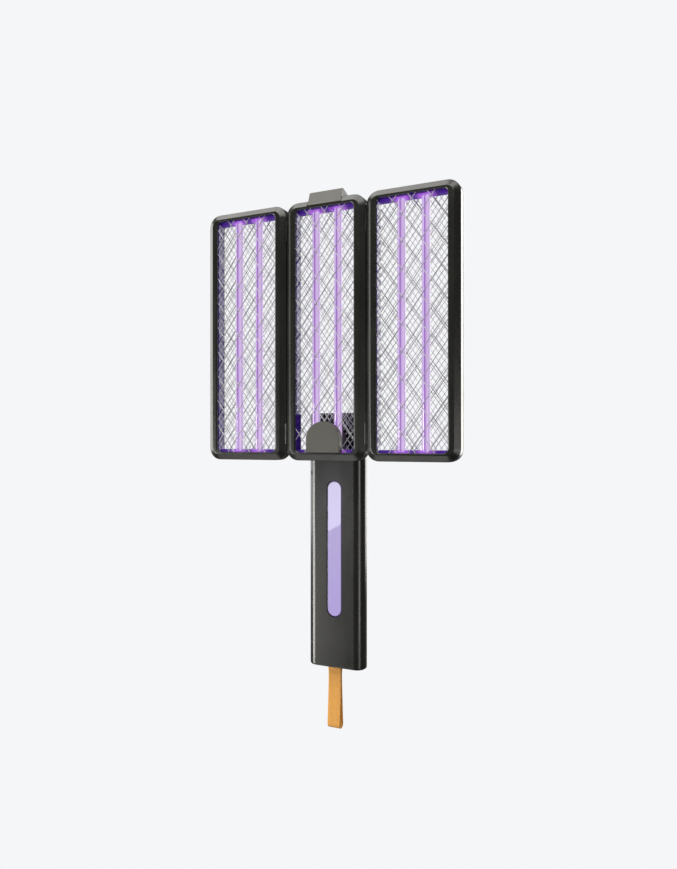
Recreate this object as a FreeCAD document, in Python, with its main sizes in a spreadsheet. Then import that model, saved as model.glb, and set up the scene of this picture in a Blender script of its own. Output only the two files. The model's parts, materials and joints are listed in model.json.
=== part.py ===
import FreeCAD, Part

import math
import os

import Sketcher

# Three-panel folding electric fly swatter, in millimetres.
# +Z runs up the handle to the head, +Y is the back, +X the right seen from the front.
# The origin is the centre of the hand grip. Head pieces are drawn about a point of
# their own: on the swivel axis, in the plane of the front lips, which Placement sets.

V = FreeCAD.Vector
doc = FreeCAD.newDocument("swatter")
sheet = doc.addObject("Spreadsheet::Sheet", "Sizes")

DRIVING = {
    # head panels
    "centre_opening": 54.0, "side_opening": 59.4, "upright_width": 9.8, "rail_height": 6.9,
    "panel_height": 220.0, "panel_depth": 15.6, "panel_gap": 0.4, "below_pivot": 17.5,
    "chamfer_width": 5.0, "chamfer_depth": 3.1, "corner_radius": 11.0, "opening_radius": 4.0,
    "front_depth": 10.4, "lip_depth": 1.2, "lip_bevel_width": 1.1, "lip_bevel_depth": 0.5,
    "seat_margin": 2.0, "rail_margin": 1.0,
    "carrier_margin": 3.4, "rear_relief": 2.3, "rear_rail_relief": 0.6, "play": 0.2,
    # wire grids
    "guard_wire": 0.7, "guard_pitch_x": 16.0, "guard_pitch_z": 22.0,
    "grid_wire": 0.5, "grid_pitch_x": 4.8, "grid_pitch_z": 6.6, "spacer_depth": 0.8,
    # lamps
    "tube_radius": 3.35, "tube_spacing": 20.4, "tube_y": 6.9,
    "holder_height": 2.4, "holder_front": 5.2,
    # panel hinges
    "knuckle_radius": 1.5, "hinge_pin_radius": 0.6, "knuckle_length": 6.0,
    "hinge_inset": 14.0, "knuckle_play": 0.3, "running": 0.05,
    # panel screws
    "screw_inset": 3.1, "screw_spacing": 70.0, "screw_head": 1.45, "screw_shank": 0.9,
    # swivel
    "arch_radius": 15.5, "arch_bottom": 10.5, "cover_proud": 2.5, "cover_back": 3.5,
    "cover_wall": 1.5, "hub_radius": 6.6, "flange_front": 11.0, "flange_back": 17.6,
    "shaft_radius": 4.0, "washer_radius": 14.0, "washer_front": 17.8, "handle_front": 21.0,
    "detent_reach": 10.0, "detent_radius": 1.5, "nut_radius": 6.8,
    # top catch
    "catch_width": 31.0, "catch_pin_y": 3.4, "catch_pin_drop": 2.3, "catch_pin_radius": 0.8,
    "catch_floor": 5.2, "catch_play": 0.5, "spring_room": 1.5,
    # handle
    "handle_width": 52.0, "handle_depth": 17.5, "handle_length": 220.0, "handle_edge": 8.3,
    "wall": 2.0, "pivot_inset": 23.3, "end_round": 1.5,
    "window_width": 14.4, "window_top": 51.7, "window_bottom": -66.3, "lens_flange": 1.5,
    "post_x": 20.0, "post_low": -90.0, "post_high": 58.0, "post_radius": 2.6,
    # button and switch on the back
    "button_z": 40.0, "button_radius": 7.0, "button_proud": 1.8,
    "knob_z": 8.0, "knob_width": 6.0, "knob_length": 8.0, "knob_travel": 4.0,
    # wrist strap
    "strap_x": -3.0, "strap_width": 12.4, "strap_thick": 1.2, "strap_drop": 55.1,
    "strap_pin_radius": 1.25,
    "strap_pin_rise": 2.5, "pocket_half_width": 7.4, "pocket_half_depth": 6.3,
    "pocket_height": 7.0,
}

for row, (alias, number) in enumerate(DRIVING.items(), start=1):
    sheet.set(f"A{row}", alias)
    sheet.set(f"B{row}", str(number))
    sheet.setAlias(f"B{row}", alias)
doc.recompute()

nodes = []


def size(expression):
    """The number that an expression over the sheet's aliases gives."""
    return float(sheet.evalExpression(expression))


def bind(obj, prop, expression):
    """Bind a property to an expression, with each alias read from the sheet."""
    obj.setExpression(prop, expression)


class Dims(dict):
    """Aliases as text that names their cell, for building expressions."""

    def __missing__(self, key):
        if key not in DRIVING:
            raise KeyError(key)
        return f"Sizes.{key}"


d = Dims()
HEAD_Y = f"-({d['handle_depth']}/2+{d['handle_front']})"
PIVOT_Z = f"({d['handle_length']}/2-{d['pivot_inset']})"
LOW = f"(-{d['below_pivot']})"
HIGH = f"({d['panel_height']}-{d['below_pivot']})"
OPEN_LOW = f"({LOW}+{d['rail_height']})"
OPEN_HIGH = f"({HIGH}-{d['rail_height']})"
CENTRE_HALF = f"({d['centre_opening']}/2+{d['upright_width']})"
SIDE_HALF = f"({d['side_opening']}/2+{d['upright_width']})"
HINGE_X = f"({CENTRE_HALF}+{d['panel_gap']}/2)"
SIDE_X = f"({HINGE_X}+{d['panel_gap']}/2+{SIDE_HALF})"
GUARD_BACK = f"({d['lip_depth']}+2*{d['guard_wire']})"
GRID_FRONT = "11.0"
GRID_BACK = f"({GRID_FRONT}+2*{d['grid_wire']})"
REAR_GUARD = f"({GRID_BACK}+{d['spacer_depth']})"
REAR_GUARD_BACK = f"({REAR_GUARD}+2*{d['guard_wire']})"

PANELS = {
    "centre": {"half_open": f"({d['centre_opening']}/2)", "x": "0", "hinges": (-1, 1)},
    "left": {"half_open": f"({d['side_opening']}/2)", "x": f"(-{SIDE_X})", "hinges": (1,)},
    "right": {"half_open": f"({d['side_opening']}/2)", "x": SIDE_X, "hinges": (-1,)},
}


# ---------------------------------------------------------------- document helpers

def place(obj, x="0", y="0", z="0"):
    for axis, expression in (("x", x), ("y", y), ("z", z)):
        bind(obj, f"Placement.Base.{axis}", expression)


def register(obj, label, x="0", y="0", z="0"):
    """Name a finished sub-part and put it in its place."""
    obj.Label = label
    place(obj, x, y, z)
    nodes.append(obj)
    return obj


def new_body(label, x="0", y="0", z="0"):
    body = doc.addObject("PartDesign::Body", label)
    return register(body, label, x, y, z)


def head_body(label, x="0"):
    return new_body(label, x, HEAD_Y, PIVOT_Z)


def solid_feature(label, shape, x="0", y="0", z="0"):
    """A sub-part whose shape is worked out by code, such as a wire grid."""
    feature = doc.addObject("Part::Feature", label)
    feature.Shape = shape
    return register(feature, label, x, y, z)


# A plane of the body, and the sign of its normal along the world axis it faces.
PLANES = {"XZ": ("XZ_Plane", -1), "XY": ("XY_Plane", 1), "YZ": ("YZ_Plane", 1)}


def new_sketch(body, plane, at):
    role, sign = PLANES[plane]
    sketch = body.newObject("Sketcher::SketchObject", f"{body.Name}_sketch")
    origin = next(o for o in body.Origin.OriginFeatures if o.Role == role)
    sketch.AttachmentSupport = [(origin, "")]
    sketch.MapMode = "FlatFace"
    bind(sketch, "AttachmentOffset.Base.z", f"{sign}*({at})")
    return sketch


def extrude(body, kind, plane, start, end, *outlines):
    """Pad or Pocket the outlines from start to end, start being the lower value."""
    sketch = new_sketch(body, plane, start)
    for draw, arguments in outlines:
        draw(sketch, *arguments)
    feature = body.newObject(f"PartDesign::{kind}", f"{body.Name}_{kind.lower()}")
    feature.Profile = sketch
    bind(feature, "Length", f"({end})-({start})")
    forward = PLANES[plane][1] > 0
    feature.Reversed = forward if kind == "Pocket" else not forward
    sketch.Visibility = False
    return feature


def pad(body, plane, start, end, *outlines):
    return extrude(body, "Pad", plane, start, end, *outlines)


def pocket(body, plane, start, end, *outlines):
    return extrude(body, "Pocket", plane, start, end, *outlines)


# ---------------------------------------------------------------- sketch outlines

def dimension(sketch, kind, arguments, expression):
    value = size(expression)
    if abs(value) < 1e-9 and kind.startswith("Distance"):
        geometry, position = arguments[2:] if arguments[0] == -1 else arguments[:2]
        line = -2 if kind == "DistanceX" else -1
        sketch.addConstraint(Sketcher.Constraint("PointOnObject", geometry, position, line))
        return
    index = sketch.addConstraint(Sketcher.Constraint(kind, *arguments, value))
    sketch.setExpression(f"Constraints[{index}]", expression)


def line_between(start, end):
    return Part.LineSegment(V(start[0], start[1], 0), V(end[0], end[1], 0))


def arc_about(x, y, radius, first, last):
    circle_shape = Part.Circle(V(x, y, 0), V(0, 0, 1), radius)
    return Part.ArcOfCircle(circle_shape, math.radians(first), math.radians(last))


def rounded_rectangle(sketch, left, right, low, high, radius):
    """A rectangle with four equal rounded corners."""
    first = sketch.GeometryCount
    x0, x1, y0, y1, r = (size(e) for e in (left, right, low, high, radius))
    sketch.addGeometry([
        line_between((x0 + r, y0), (x1 - r, y0)), arc_about(x1 - r, y0 + r, r, -90, 0),
        line_between((x1, y0 + r), (x1, y1 - r)), arc_about(x1 - r, y1 - r, r, 0, 90),
        line_between((x1 - r, y1), (x0 + r, y1)), arc_about(x0 + r, y1 - r, r, 90, 180),
        line_between((x0, y1 - r), (x0, y0 + r)), arc_about(x0 + r, y0 + r, r, 180, 270),
    ], False)
    rule = Sketcher.Constraint
    rules = [rule("Tangent", first + i, 2, first + (i + 1) % 8, 1) for i in range(8)]
    rules += [rule("Horizontal", first), rule("Horizontal", first + 4)]
    rules += [rule("Vertical", first + 2), rule("Vertical", first + 6)]
    rules += [rule("Equal", first + i, first + i + 2) for i in (1, 3, 5)]
    sketch.addConstraint(rules)
    dimension(sketch, "Radius", (first + 1,), radius)
    dimension(sketch, "DistanceX", (-1, 1, first + 6, 1), left)
    dimension(sketch, "DistanceX", (-1, 1, first + 2, 1), right)
    dimension(sketch, "DistanceY", (-1, 1, first, 1), low)
    dimension(sketch, "DistanceY", (-1, 1, first + 4, 1), high)


def circle(sketch, x, y, radius):
    index = sketch.GeometryCount
    sketch.addGeometry(Part.Circle(V(size(x), size(y), 0), V(0, 0, 1), size(radius)), False)
    dimension(sketch, "Radius", (index,), radius)
    dimension(sketch, "DistanceX", (-1, 1, index, 3), x)
    dimension(sketch, "DistanceY", (-1, 1, index, 3), y)


def outline(sketch, points):
    """A closed run of straight lines through points given as expressions."""
    first = sketch.GeometryCount
    values = [(size(x), size(y)) for x, y in points]
    count = len(points)
    lines = [line_between(values[i], values[(i + 1) % count]) for i in range(count)]
    sketch.addGeometry(lines, False)
    for i in range(count):
        joined = Sketcher.Constraint("Coincident", first + i, 2, first + (i + 1) % count, 1)
        sketch.addConstraint(joined)
    for i, (x, y) in enumerate(points):
        dimension(sketch, "DistanceX", (-1, 1, first + i, 1), x)
        dimension(sketch, "DistanceY", (-1, 1, first + i, 1), y)


def rectangle(sketch, left, right, low, high):
    outline(sketch, [(left, low), (right, low), (right, high), (left, high)])


def upright_slot(sketch, centre_x, half_width, low, high):
    """Two vertical sides joined by half circles."""
    first = sketch.GeometryCount
    x, r, y0, y1 = (size(e) for e in (centre_x, half_width, low, high))
    sketch.addGeometry([
        line_between((x + r, y0 + r), (x + r, y1 - r)), arc_about(x, y1 - r, r, 0, 180),
        line_between((x - r, y1 - r), (x - r, y0 + r)), arc_about(x, y0 + r, r, 180, 360),
    ], False)
    rule = Sketcher.Constraint
    rules = [rule("Tangent", first + i, 2, first + (i + 1) % 4, 1) for i in range(4)]
    sketch.addConstraint(rules + [rule("Vertical", first), rule("Equal", first + 1, first + 3)])
    dimension(sketch, "Radius", (first + 1,), half_width)
    dimension(sketch, "DistanceX", (-1, 1, first + 1, 3), centre_x)
    dimension(sketch, "DistanceY", (-1, 1, first + 1, 3), f"({high})-({half_width})")
    dimension(sketch, "DistanceY", (-1, 1, first + 3, 3), f"({low})+({half_width})")


def arch(sketch, radius, low):
    """A half circle about the origin with straight sides down to a flat foot."""
    first = sketch.GeometryCount
    r, y0 = size(radius), size(low)
    sketch.addGeometry([
        line_between((-r, y0), (r, y0)), line_between((r, y0), (r, 0)),
        arc_about(0, 0, r, 0, 180), line_between((-r, 0), (-r, y0)),
    ], False)
    rule = Sketcher.Constraint
    sketch.addConstraint([
        rule("Coincident", first, 2, first + 1, 1), rule("Tangent", first + 1, 2, first + 2, 1),
        rule("Tangent", first + 2, 2, first + 3, 1), rule("Coincident", first + 3, 2, first, 1),
        rule("Horizontal", first), rule("Vertical", first + 1),
        rule("Coincident", first + 2, 3, -1, 1),
    ])
    dimension(sketch, "Radius", (first + 2,), radius)
    dimension(sketch, "DistanceY", (-1, 1, first, 1), low)


def edges_where(shape, test):
    return [f"Edge{i}" for i, edge in enumerate(shape.Edges, start=1) if test(edge)]


def rim(shape, y, outer):
    """The wire round the outside, or round the opening, of the flat face at this depth."""
    flat = [f for f in shape.Faces if f.BoundBox.YLength < 1e-6 and abs(f.BoundBox.YMin - y) < 1e-6]
    face = max(flat, key=lambda f: f.BoundBox.DiagonalLength)
    inner = [wire for wire in face.Wires if not wire.isSame(face.OuterWire)]
    return face.OuterWire if outer else inner[0]


def bevel(body, base, y, outer, deep, wide):
    """A flat bevel round a panel's outside or its opening, as wide as this across the face."""
    doc.recompute()
    before = rim(base.Shape, size(y), outer)
    feature = body.newObject("PartDesign::Chamfer", f"{body.Name}_bevel")
    on_rim = edges_where(base.Shape, lambda edge: any(edge.isSame(e) for e in before.Edges))
    feature.Base = (base, on_rim)
    feature.ChamferType = "Two distances"
    bind(feature, "Size", deep)
    bind(feature, "Size2", wide)
    doc.recompute()
    shift = rim(feature.Shape, size(y), outer).BoundBox.XMax - before.BoundBox.XMax
    if abs(abs(shift) - size(wide)) > 1e-6:
        feature.FlipDirection = True
    return feature


def fillet(body, base, radius, test):
    doc.recompute()
    feature = body.newObject("PartDesign::Fillet", f"{body.Name}_fillet")
    feature.Base = (base, edges_where(base.Shape, test))
    bind(feature, "Radius", radius)
    return feature


# ---------------------------------------------------------------- head panels

def panel_outline(panel, margin="0", rail_margin="0", radius=None):
    """The opening's outline, grown by a margin at the sides and at the rails."""
    half = f"({panel['half_open']}+{margin})"
    corner = radius or f"({d['opening_radius']}+{rail_margin})"
    limits = (f"{OPEN_LOW}-{rail_margin}", f"{OPEN_HIGH}+{rail_margin}")
    return rounded_rectangle, (f"-{half}", half, *limits, corner)


def panel_outside(panel):
    half = f"({panel['half_open']}+{d['upright_width']})"
    return rounded_rectangle, (f"-{half}", half, LOW, HIGH, d["corner_radius"])


def hinge_zones():
    """Lower end of the two stacks of three knuckles on each hinge line."""
    stack = f"3*{d['knuckle_length']}"
    return (f"({LOW}+{d['hinge_inset']})", f"({HIGH}-{d['hinge_inset']}-{stack})")


def add_knuckles(body, panel, is_centre):
    """Barrels on the front crease: outer two on the centre panel, middle one on a side."""
    half = CENTRE_HALF if is_centre else SIDE_HALF
    lines = [f"{side}*({half}+{d['panel_gap']}/2)" for side in panel["hinges"]]
    crease = d["chamfer_depth"]
    step = d["knuckle_length"]
    swept = f"({d['knuckle_radius']}+{d['knuckle_play']})"
    shrink = d["play"]
    own, other = ((0, 2), (1,)) if is_centre else ((1,), (0, 2))
    bore = d["hinge_pin_radius"] if is_centre else f"({d['hinge_pin_radius']}+{d['running']})"
    for zone in hinge_zones():
        for index in other:
            low = f"{zone}+{index}*{step}-{shrink}"
            high = f"{zone}+{index + 1}*{step}+{shrink}"
            pocket(body, "XY", low, high, *[(circle, (x, crease, swept)) for x in lines])
        for index in own:
            low = f"{zone}+{index}*{step}"
            high = f"{zone}+{index + 1}*{step}"
            barrels = [(circle, (x, crease, d["knuckle_radius"])) for x in lines]
            pad(body, "XY", low, high, *barrels)
        ends = (zone, f"{zone}+3*{step}")
        pocket(body, "XY", *ends, *[(circle, (x, crease, bore)) for x in lines])


def screw_places(panel):
    """Six screws a panel: three up each upright."""
    half = size(panel["half_open"]) + size(d["upright_width"])
    x = half - size(d["screw_inset"])
    middle = size(f"({LOW}+{HIGH})/2")
    step = size(d["screw_spacing"])
    return [(side * x, middle + k * step) for side in (-1, 1) for k in (-1, 0, 1)]


def screw_circles(panel, radius):
    half = f"({panel['half_open']}+{d['upright_width']}-{d['screw_inset']})"
    heights = [f"({LOW}+{HIGH})/2+{k}*{d['screw_spacing']}" for k in (-1, 0, 1)]
    return [(circle, (f"{side}*{half}", height, radius)) for side in (-1, 1) for height in heights]


SCREW_TIP = "5.0"
HEAD_FRONT = "11.9"
HEAD_BACK = "13.3"


def front_frame(name, panel):
    body = head_body(f"{name}_front_frame", panel["x"])
    ring = pad(body, "XZ", "0", d["front_depth"], panel_outside(panel), panel_outline(panel))
    edge = bevel(body, ring, "0", True, d["chamfer_depth"], d["chamfer_width"])
    bevel(body, edge, "0", False, d["lip_bevel_depth"], d["lip_bevel_width"])
    pocket(body, "XZ", d["lip_depth"], GUARD_BACK,
           panel_outline(panel, d["seat_margin"], d["rail_margin"]))
    pocket(body, "XZ", GUARD_BACK, d["front_depth"],
           panel_outline(panel, d["carrier_margin"], d["rail_margin"]))
    pocket(body, "XZ", SCREW_TIP, d["front_depth"], *screw_circles(panel, d["screw_shank"]))
    add_knuckles(body, panel, name == "centre")
    if name == "centre":
        half = f"({d['catch_width']}/2+{d['catch_play']})"
        floor = f"{HIGH}-{d['catch_floor']}"
        pocket(body, "XZ", "0", d["front_depth"], (rectangle, (f"-{half}", half, floor, HIGH)))
        grip = f"({half}+2)"
        pin = (circle, (d["catch_pin_y"], f"{HIGH}-{d['catch_pin_drop']}", d["catch_pin_radius"]))
        pocket(body, "YZ", f"-{grip}", grip, pin)
    return body


def rear_frame(name, panel):
    body = head_body(f"{name}_rear_frame", panel["x"])
    opening = panel_outline(panel, d["rear_relief"], d["rear_rail_relief"])
    slab = pad(body, "XZ", d["front_depth"], d["panel_depth"], panel_outside(panel), opening)
    bevel(body, slab, d["panel_depth"], True, d["chamfer_depth"], d["chamfer_width"])
    pocket(body, "XZ", d["front_depth"], REAR_GUARD_BACK,
           panel_outline(panel, f"({d['carrier_margin']}+{d['play']})", d["rail_margin"]))
    back = d["panel_depth"]
    pocket(body, "XZ", HEAD_BACK, back, *screw_circles(panel, f"({d['screw_head']}+{d['play']})"))
    pocket(body, "XZ", HEAD_FRONT, back, *screw_circles(panel, d["screw_head"]))
    pocket(body, "XZ", d["front_depth"], back, *screw_circles(panel, d["screw_shank"]))
    return body


def carrier(name, panel):
    """The glossy inner ring that holds both grids apart and lines the opening."""
    body = head_body(f"{name}_lamp_carrier", panel["x"])
    margins = (f"({d['carrier_margin']}-{d['play']})", f"({d['rail_margin']}-{d['play']})")
    return pad(body, "XZ", GUARD_BACK, GRID_FRONT, panel_outline(panel, *margins),
               panel_outline(panel, "0.05", "0.05"))


def spacer(name, panel):
    """The insulating gasket between the live grid and the rear guard."""
    body = head_body(f"{name}_grid_gasket", panel["x"])
    outer = panel_outline(panel, f"({d['carrier_margin']}-{d['play']})",
                          f"({d['rail_margin']}-{d['play']})")
    inner = panel_outline(panel, d["rear_relief"], "0.1")
    return pad(body, "XZ", GRID_BACK, REAR_GUARD, outer, inner)


SOCKET_FLOOR = 0.8


def lamp_holders(name, panel):
    """The socket bars that hold the tubes at the top and the bottom of the opening."""
    half = size(panel["half_open"]) - 0.05
    front = size(d["holder_front"])
    deep = size(GRID_FRONT) - 0.2 - front
    low, high = size(OPEN_LOW), size(OPEN_HIGH)
    height = size(d["holder_height"])
    opening = Part.makeBox(2 * half, deep, high - low, V(-half, front, low))
    corners = [e for e in opening.Edges if e.BoundBox.XLength + e.BoundBox.ZLength < 1e-6]
    opening = opening.makeFillet(size(d["opening_radius"]) + 0.1, corners)
    bars = []
    for start in (low, high - height):
        bar = opening.common(Part.makeBox(2 * half, deep, height, V(-half, front, start)))
        socket = start + SOCKET_FLOOR if start == low else start - SOCKET_FLOOR - height
        for side in (-1, 1):
            bore_at = V(side * size(d["tube_spacing"]) / 2, size(d["tube_y"]), socket)
            bar = bar.cut(Part.makeCylinder(size(d["tube_radius"]), 2 * height, bore_at))
        if start == low and name == "centre":
            gap = size(d["hub_radius"]) + 0.15
            bar = bar.cut(Part.makeBox(2 * gap, 30, 30, V(-gap, 0, start - 10)))
        bars.append(bar)
    return solid_feature(f"{name}_lamp_holders", Part.makeCompound(bars),
                         panel["x"], HEAD_Y, PIVOT_Z)


def uv_tube(name, panel, side, word):
    """A straight lamp tube with domed ends, seated in both socket bars."""
    label = f"{name}_uv_tube_{word}"
    radius = d["tube_radius"]
    low = f"({OPEN_LOW}+{SOCKET_FLOOR}+{radius})"
    high = f"({OPEN_HIGH}-{SOCKET_FLOOR}-{radius})"
    glass = doc.addObject("Part::Cylinder", f"{label}_wall")
    bind(glass, "Radius", radius)
    bind(glass, "Height", f"{high}-{low}")
    place(glass, z=low)
    pieces = [glass]
    for end in (low, high):
        dome = doc.addObject("Part::Sphere", f"{label}_dome")
        bind(dome, "Radius", radius)
        place(dome, z=end)
        pieces.append(dome)
    tube = doc.addObject("Part::MultiFuse", label)
    tube.Shapes = pieces
    return register(tube, label, f"{panel['x']}+{side}*{d['tube_spacing']}/2",
                    f"{HEAD_Y}+{d['tube_y']}", PIVOT_Z)


def crossing_wires(half_width, low, high, pitch_x, pitch_z, diameter, front):
    """Two layers of straight slanting wires, one layer on the other, in one outline."""
    wires = []
    slope = pitch_z / pitch_x
    middle = (low + high) / 2
    reach = int((half_width + (high - low) / (2 * slope)) / pitch_x) + 1
    for layer, lean in enumerate((1, -1)):
        depth = front + diameter * (0.5 + layer)
        for step in range(-reach, reach + 1):
            x0 = (step + 0.5) * pitch_x
            ends = []
            for z in (low, high):
                x = x0 + lean * (z - middle) / slope
                x = max(-half_width, min(half_width, x))
                ends.append(V(x, depth, middle + lean * (x - x0) * slope))
            run = ends[1] - ends[0]
            if run.Length > 3 * diameter:
                wires.append(Part.makeCylinder(diameter / 2, run.Length, ends[0], run))
    return wires


def arch_block(grow):
    """The space that the swivel boss takes from the centre panel's grids."""
    radius = size(d["arch_radius"]) + grow
    foot = size(d["arch_bottom"]) + 10
    deep = 40.0
    round_top = Part.makeCylinder(radius, deep, V(0, -10, 0), V(0, 1, 0))
    return round_top.fuse(Part.makeBox(2 * radius, deep, foot, V(-radius, -10, -foot)))


def wire_grid(name, panel, label, wire, pitch_x, pitch_z, front, margins):
    half = size(panel["half_open"]) + margins[0]
    low, high = size(OPEN_LOW) - margins[1], size(OPEN_HIGH) + margins[1]
    wires = crossing_wires(half, low, high, size(pitch_x), size(pitch_z), size(wire), size(front))
    seat = Part.makeBox(2 * half, size(front) + 5, high - low, V(-half, 0, low))
    corners = [e for e in seat.Edges if e.BoundBox.XLength + e.BoundBox.ZLength < 1e-6]
    seat = seat.makeFillet(size(f"{d['opening_radius']}+{d['rail_margin']}"), corners)
    wires = [solid for w in wires for solid in w.common(seat).Solids]
    if name == "centre":
        boss = arch_block(0.3)
        wires = [solid for w in wires for solid in w.cut(boss).Solids]
        wires = [w for w in wires if w.BoundBox.DiagonalLength > 2]
    return solid_feature(f"{name}_{label}", Part.makeCompound(wires), panel["x"], HEAD_Y, PIVOT_Z)


def grids(name, panel):
    guard = (d["guard_wire"], d["guard_pitch_x"], d["guard_pitch_z"])
    live = (d["grid_wire"], d["grid_pitch_x"], d["grid_pitch_z"])
    wire_grid(name, panel, "front_guard", *guard, d["lip_depth"], (1.5, 0.6))
    wire_grid(name, panel, "live_grid", *live, GRID_FRONT, (2.9, 0.5))
    wire_grid(name, panel, "rear_guard", *guard, REAR_GUARD, (2.9, 0.6))


def panel_screws(name, panel):
    """Countersunk-in pan head screws that hold the rear frame to the front frame."""
    head_front, head_back, tip = size(HEAD_FRONT), size(HEAD_BACK), size(SCREW_TIP)
    screws = []
    for x, z in screw_places(panel):
        shank = Part.makeCylinder(size(d["screw_shank"]), head_front - tip, V(x, tip, z), V(0, 1, 0))
        head = Part.makeCylinder(size(d["screw_head"]), head_back - head_front,
                                 V(x, head_front, z), V(0, 1, 0))
        arms = [Part.makeBox(long, 0.6, wide, V(x - long / 2, head_back - 0.6, z - wide / 2))
                for long, wide in ((1.7, 0.4), (0.4, 1.7))]
        screws.append(shank.fuse(head).cut(arms[0].fuse(arms[1])))
    return solid_feature(f"{name}_frame_screws", Part.makeCompound(screws),
                         panel["x"], HEAD_Y, PIVOT_Z)


def hinge_pins(word, side):
    """The two steel pins of one fold line, drawn on the line itself."""
    pins = []
    for number, zone in enumerate(hinge_zones()):
        pin = doc.addObject("Part::Cylinder", f"{word}_pin_{number}")
        bind(pin, "Radius", d["hinge_pin_radius"])
        bind(pin, "Height", f"3*{d['knuckle_length']}")
        place(pin, z=zone)
        pins.append(pin)
    pair = doc.addObject("Part::Compound", f"{word}_hinge_pins")
    pair.Links = pins
    return register(pair, f"{word}_hinge_pins", f"{side}*{HINGE_X}",
                    f"{HEAD_Y}+{d['chamfer_depth']}", PIVOT_Z)


for panel_name, panel_data in PANELS.items():
    front_frame(panel_name, panel_data)
    rear_frame(panel_name, panel_data)
    carrier(panel_name, panel_data)
    spacer(panel_name, panel_data)
    lamp_holders(panel_name, panel_data)
    grids(panel_name, panel_data)
    uv_tube(panel_name, panel_data, -1, "a")
    uv_tube(panel_name, panel_data, 1, "b")
    panel_screws(panel_name, panel_data)
hinge_pins("left", -1)
hinge_pins("right", 1)


# ---------------------------------------------------------------- swivel

def pivot_cover():
    """The arch-shaped cap in front of the swivel, hollow behind its face."""
    body = head_body("pivot_cover")
    foot = f"-{d['arch_bottom']}"
    block = pad(body, "XZ", f"-{d['cover_proud']}", d["cover_back"],
                (arch, (d["arch_radius"], foot)))
    rim = size(f"-{d['cover_proud']}")
    low = size(foot) + 0.01
    fillet(body, block, "0.5",
           lambda e: e.BoundBox.YMax < rim + 1e-6 and e.BoundBox.ZMax > low)
    nut_room = f"({d['arch_radius']}-6)"
    pocket(body, "XZ", f"{d['cover_wall']}-{d['cover_proud']}", d["cover_back"],
           (circle, ("0", "0", nut_room)))


def pivot_hub():
    """The bearing tube between the lamps, with the rear flange that the handle bears on."""
    body = head_body("pivot_hub")
    back = d["flange_back"]
    pad(body, "XZ", d["flange_front"], back, (arch, (d["arch_radius"], "-10.65")))
    pad(body, "XZ", d["cover_back"], d["flange_front"], (circle, ("0", "0", d["hub_radius"])))
    web = f"({d['hub_radius']}-2)"
    pad(body, "XZ", d["cover_back"], d["flange_front"], (rectangle, (f"-{web}", web, "-10.5", "0")))
    pocket(body, "XZ", d["cover_back"], back,
           (circle, ("0", "0", f"{d['shaft_radius']}+{d['running']}")))
    track = (f"({d['detent_reach']}+{d['detent_radius']})",
             f"({d['detent_reach']}-{d['detent_radius']})")
    pocket(body, "XZ", f"{back}-0.6", back, *[(circle, ("0", "0", radius)) for radius in track])


def pivot_shaft():
    """The hollow swivel shaft, fixed to the handle by its inner flange."""
    body = head_body("pivot_shaft")
    inner_wall = f"({d['handle_front']}+{d['wall']})"
    pad(body, "XZ", "-0.3", inner_wall, (circle, ("0", "0", d["shaft_radius"])))
    pad(body, "XZ", inner_wall, f"{inner_wall}+2", (circle, ("0", "0", "12.5")))
    pocket(body, "XZ", "-0.3", f"{inner_wall}+2", (circle, ("0", "0", "2")))


def pivot_nut():
    """The hexagonal nut that keeps the head on the shaft."""
    nut = doc.addObject("Part::Prism", "nut_blank")
    nut.Polygon = 6
    bind(nut, "Circumradius", d["nut_radius"])
    bind(nut, "Height", "2.9")
    bore = doc.addObject("Part::Cylinder", "nut_bore")
    bind(bore, "Radius", d["shaft_radius"])
    bind(bore, "Height", "2.9")
    cut = doc.addObject("Part::Cut", "pivot_nut")
    cut.Base, cut.Tool = nut, bore
    register(cut, "pivot_nut", "0", f"{HEAD_Y}+3.3", PIVOT_Z)
    cut.Placement.Rotation = FreeCAD.Rotation(V(1, 0, 0), 90)


def swivel_washer():
    """The low-friction disc between the head and the handle."""
    body = head_body("swivel_washer")
    ends = (d["washer_front"], d["handle_front"])
    pad(body, "XZ", *ends, (circle, ("0", "0", d["washer_radius"])))
    pocket(body, "XZ", *ends, (circle, ("0", "0", d["shaft_radius"])))
    pocket(body, "XZ", *ends, (circle, ("0", f"-{d['detent_reach']}", f"{d['detent_radius']}+0.1")))


DETENT_Y = "(18.6)"


def detent_ball():
    ball = doc.addObject("Part::Sphere", "detent_ball")
    bind(ball, "Radius", f"{d['detent_radius']}-0.05")
    register(ball, "detent_ball", "0", f"{HEAD_Y}+{DETENT_Y}", f"{PIVOT_Z}-{d['detent_reach']}")


def coil_spring(label, radius, wire, height, turns, axis, x, y, z):
    """A round-wire coil along one axis."""
    helix = Part.makeHelix(height / turns, height, radius)
    start = Part.Wire(Part.Circle(V(radius, 0, 0), V(0, 1, 0), wire / 2).toShape())
    coil = Part.Wire(helix).makePipeShell([start], True, True)
    coil.rotate(V(0, 0, 0), *axis)
    solid_feature(label, coil, x, y, z)


pivot_cover()
pivot_hub()
pivot_shaft()
pivot_nut()
swivel_washer()
detent_ball()
coil_spring("detent_spring", 1.0, 0.35, 2.3, 4, (V(1, 0, 0), -90), "0", f"{HEAD_Y}+20.3",
            f"{PIVOT_Z}-{d['detent_reach']}")


# ---------------------------------------------------------------- top catch

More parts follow.
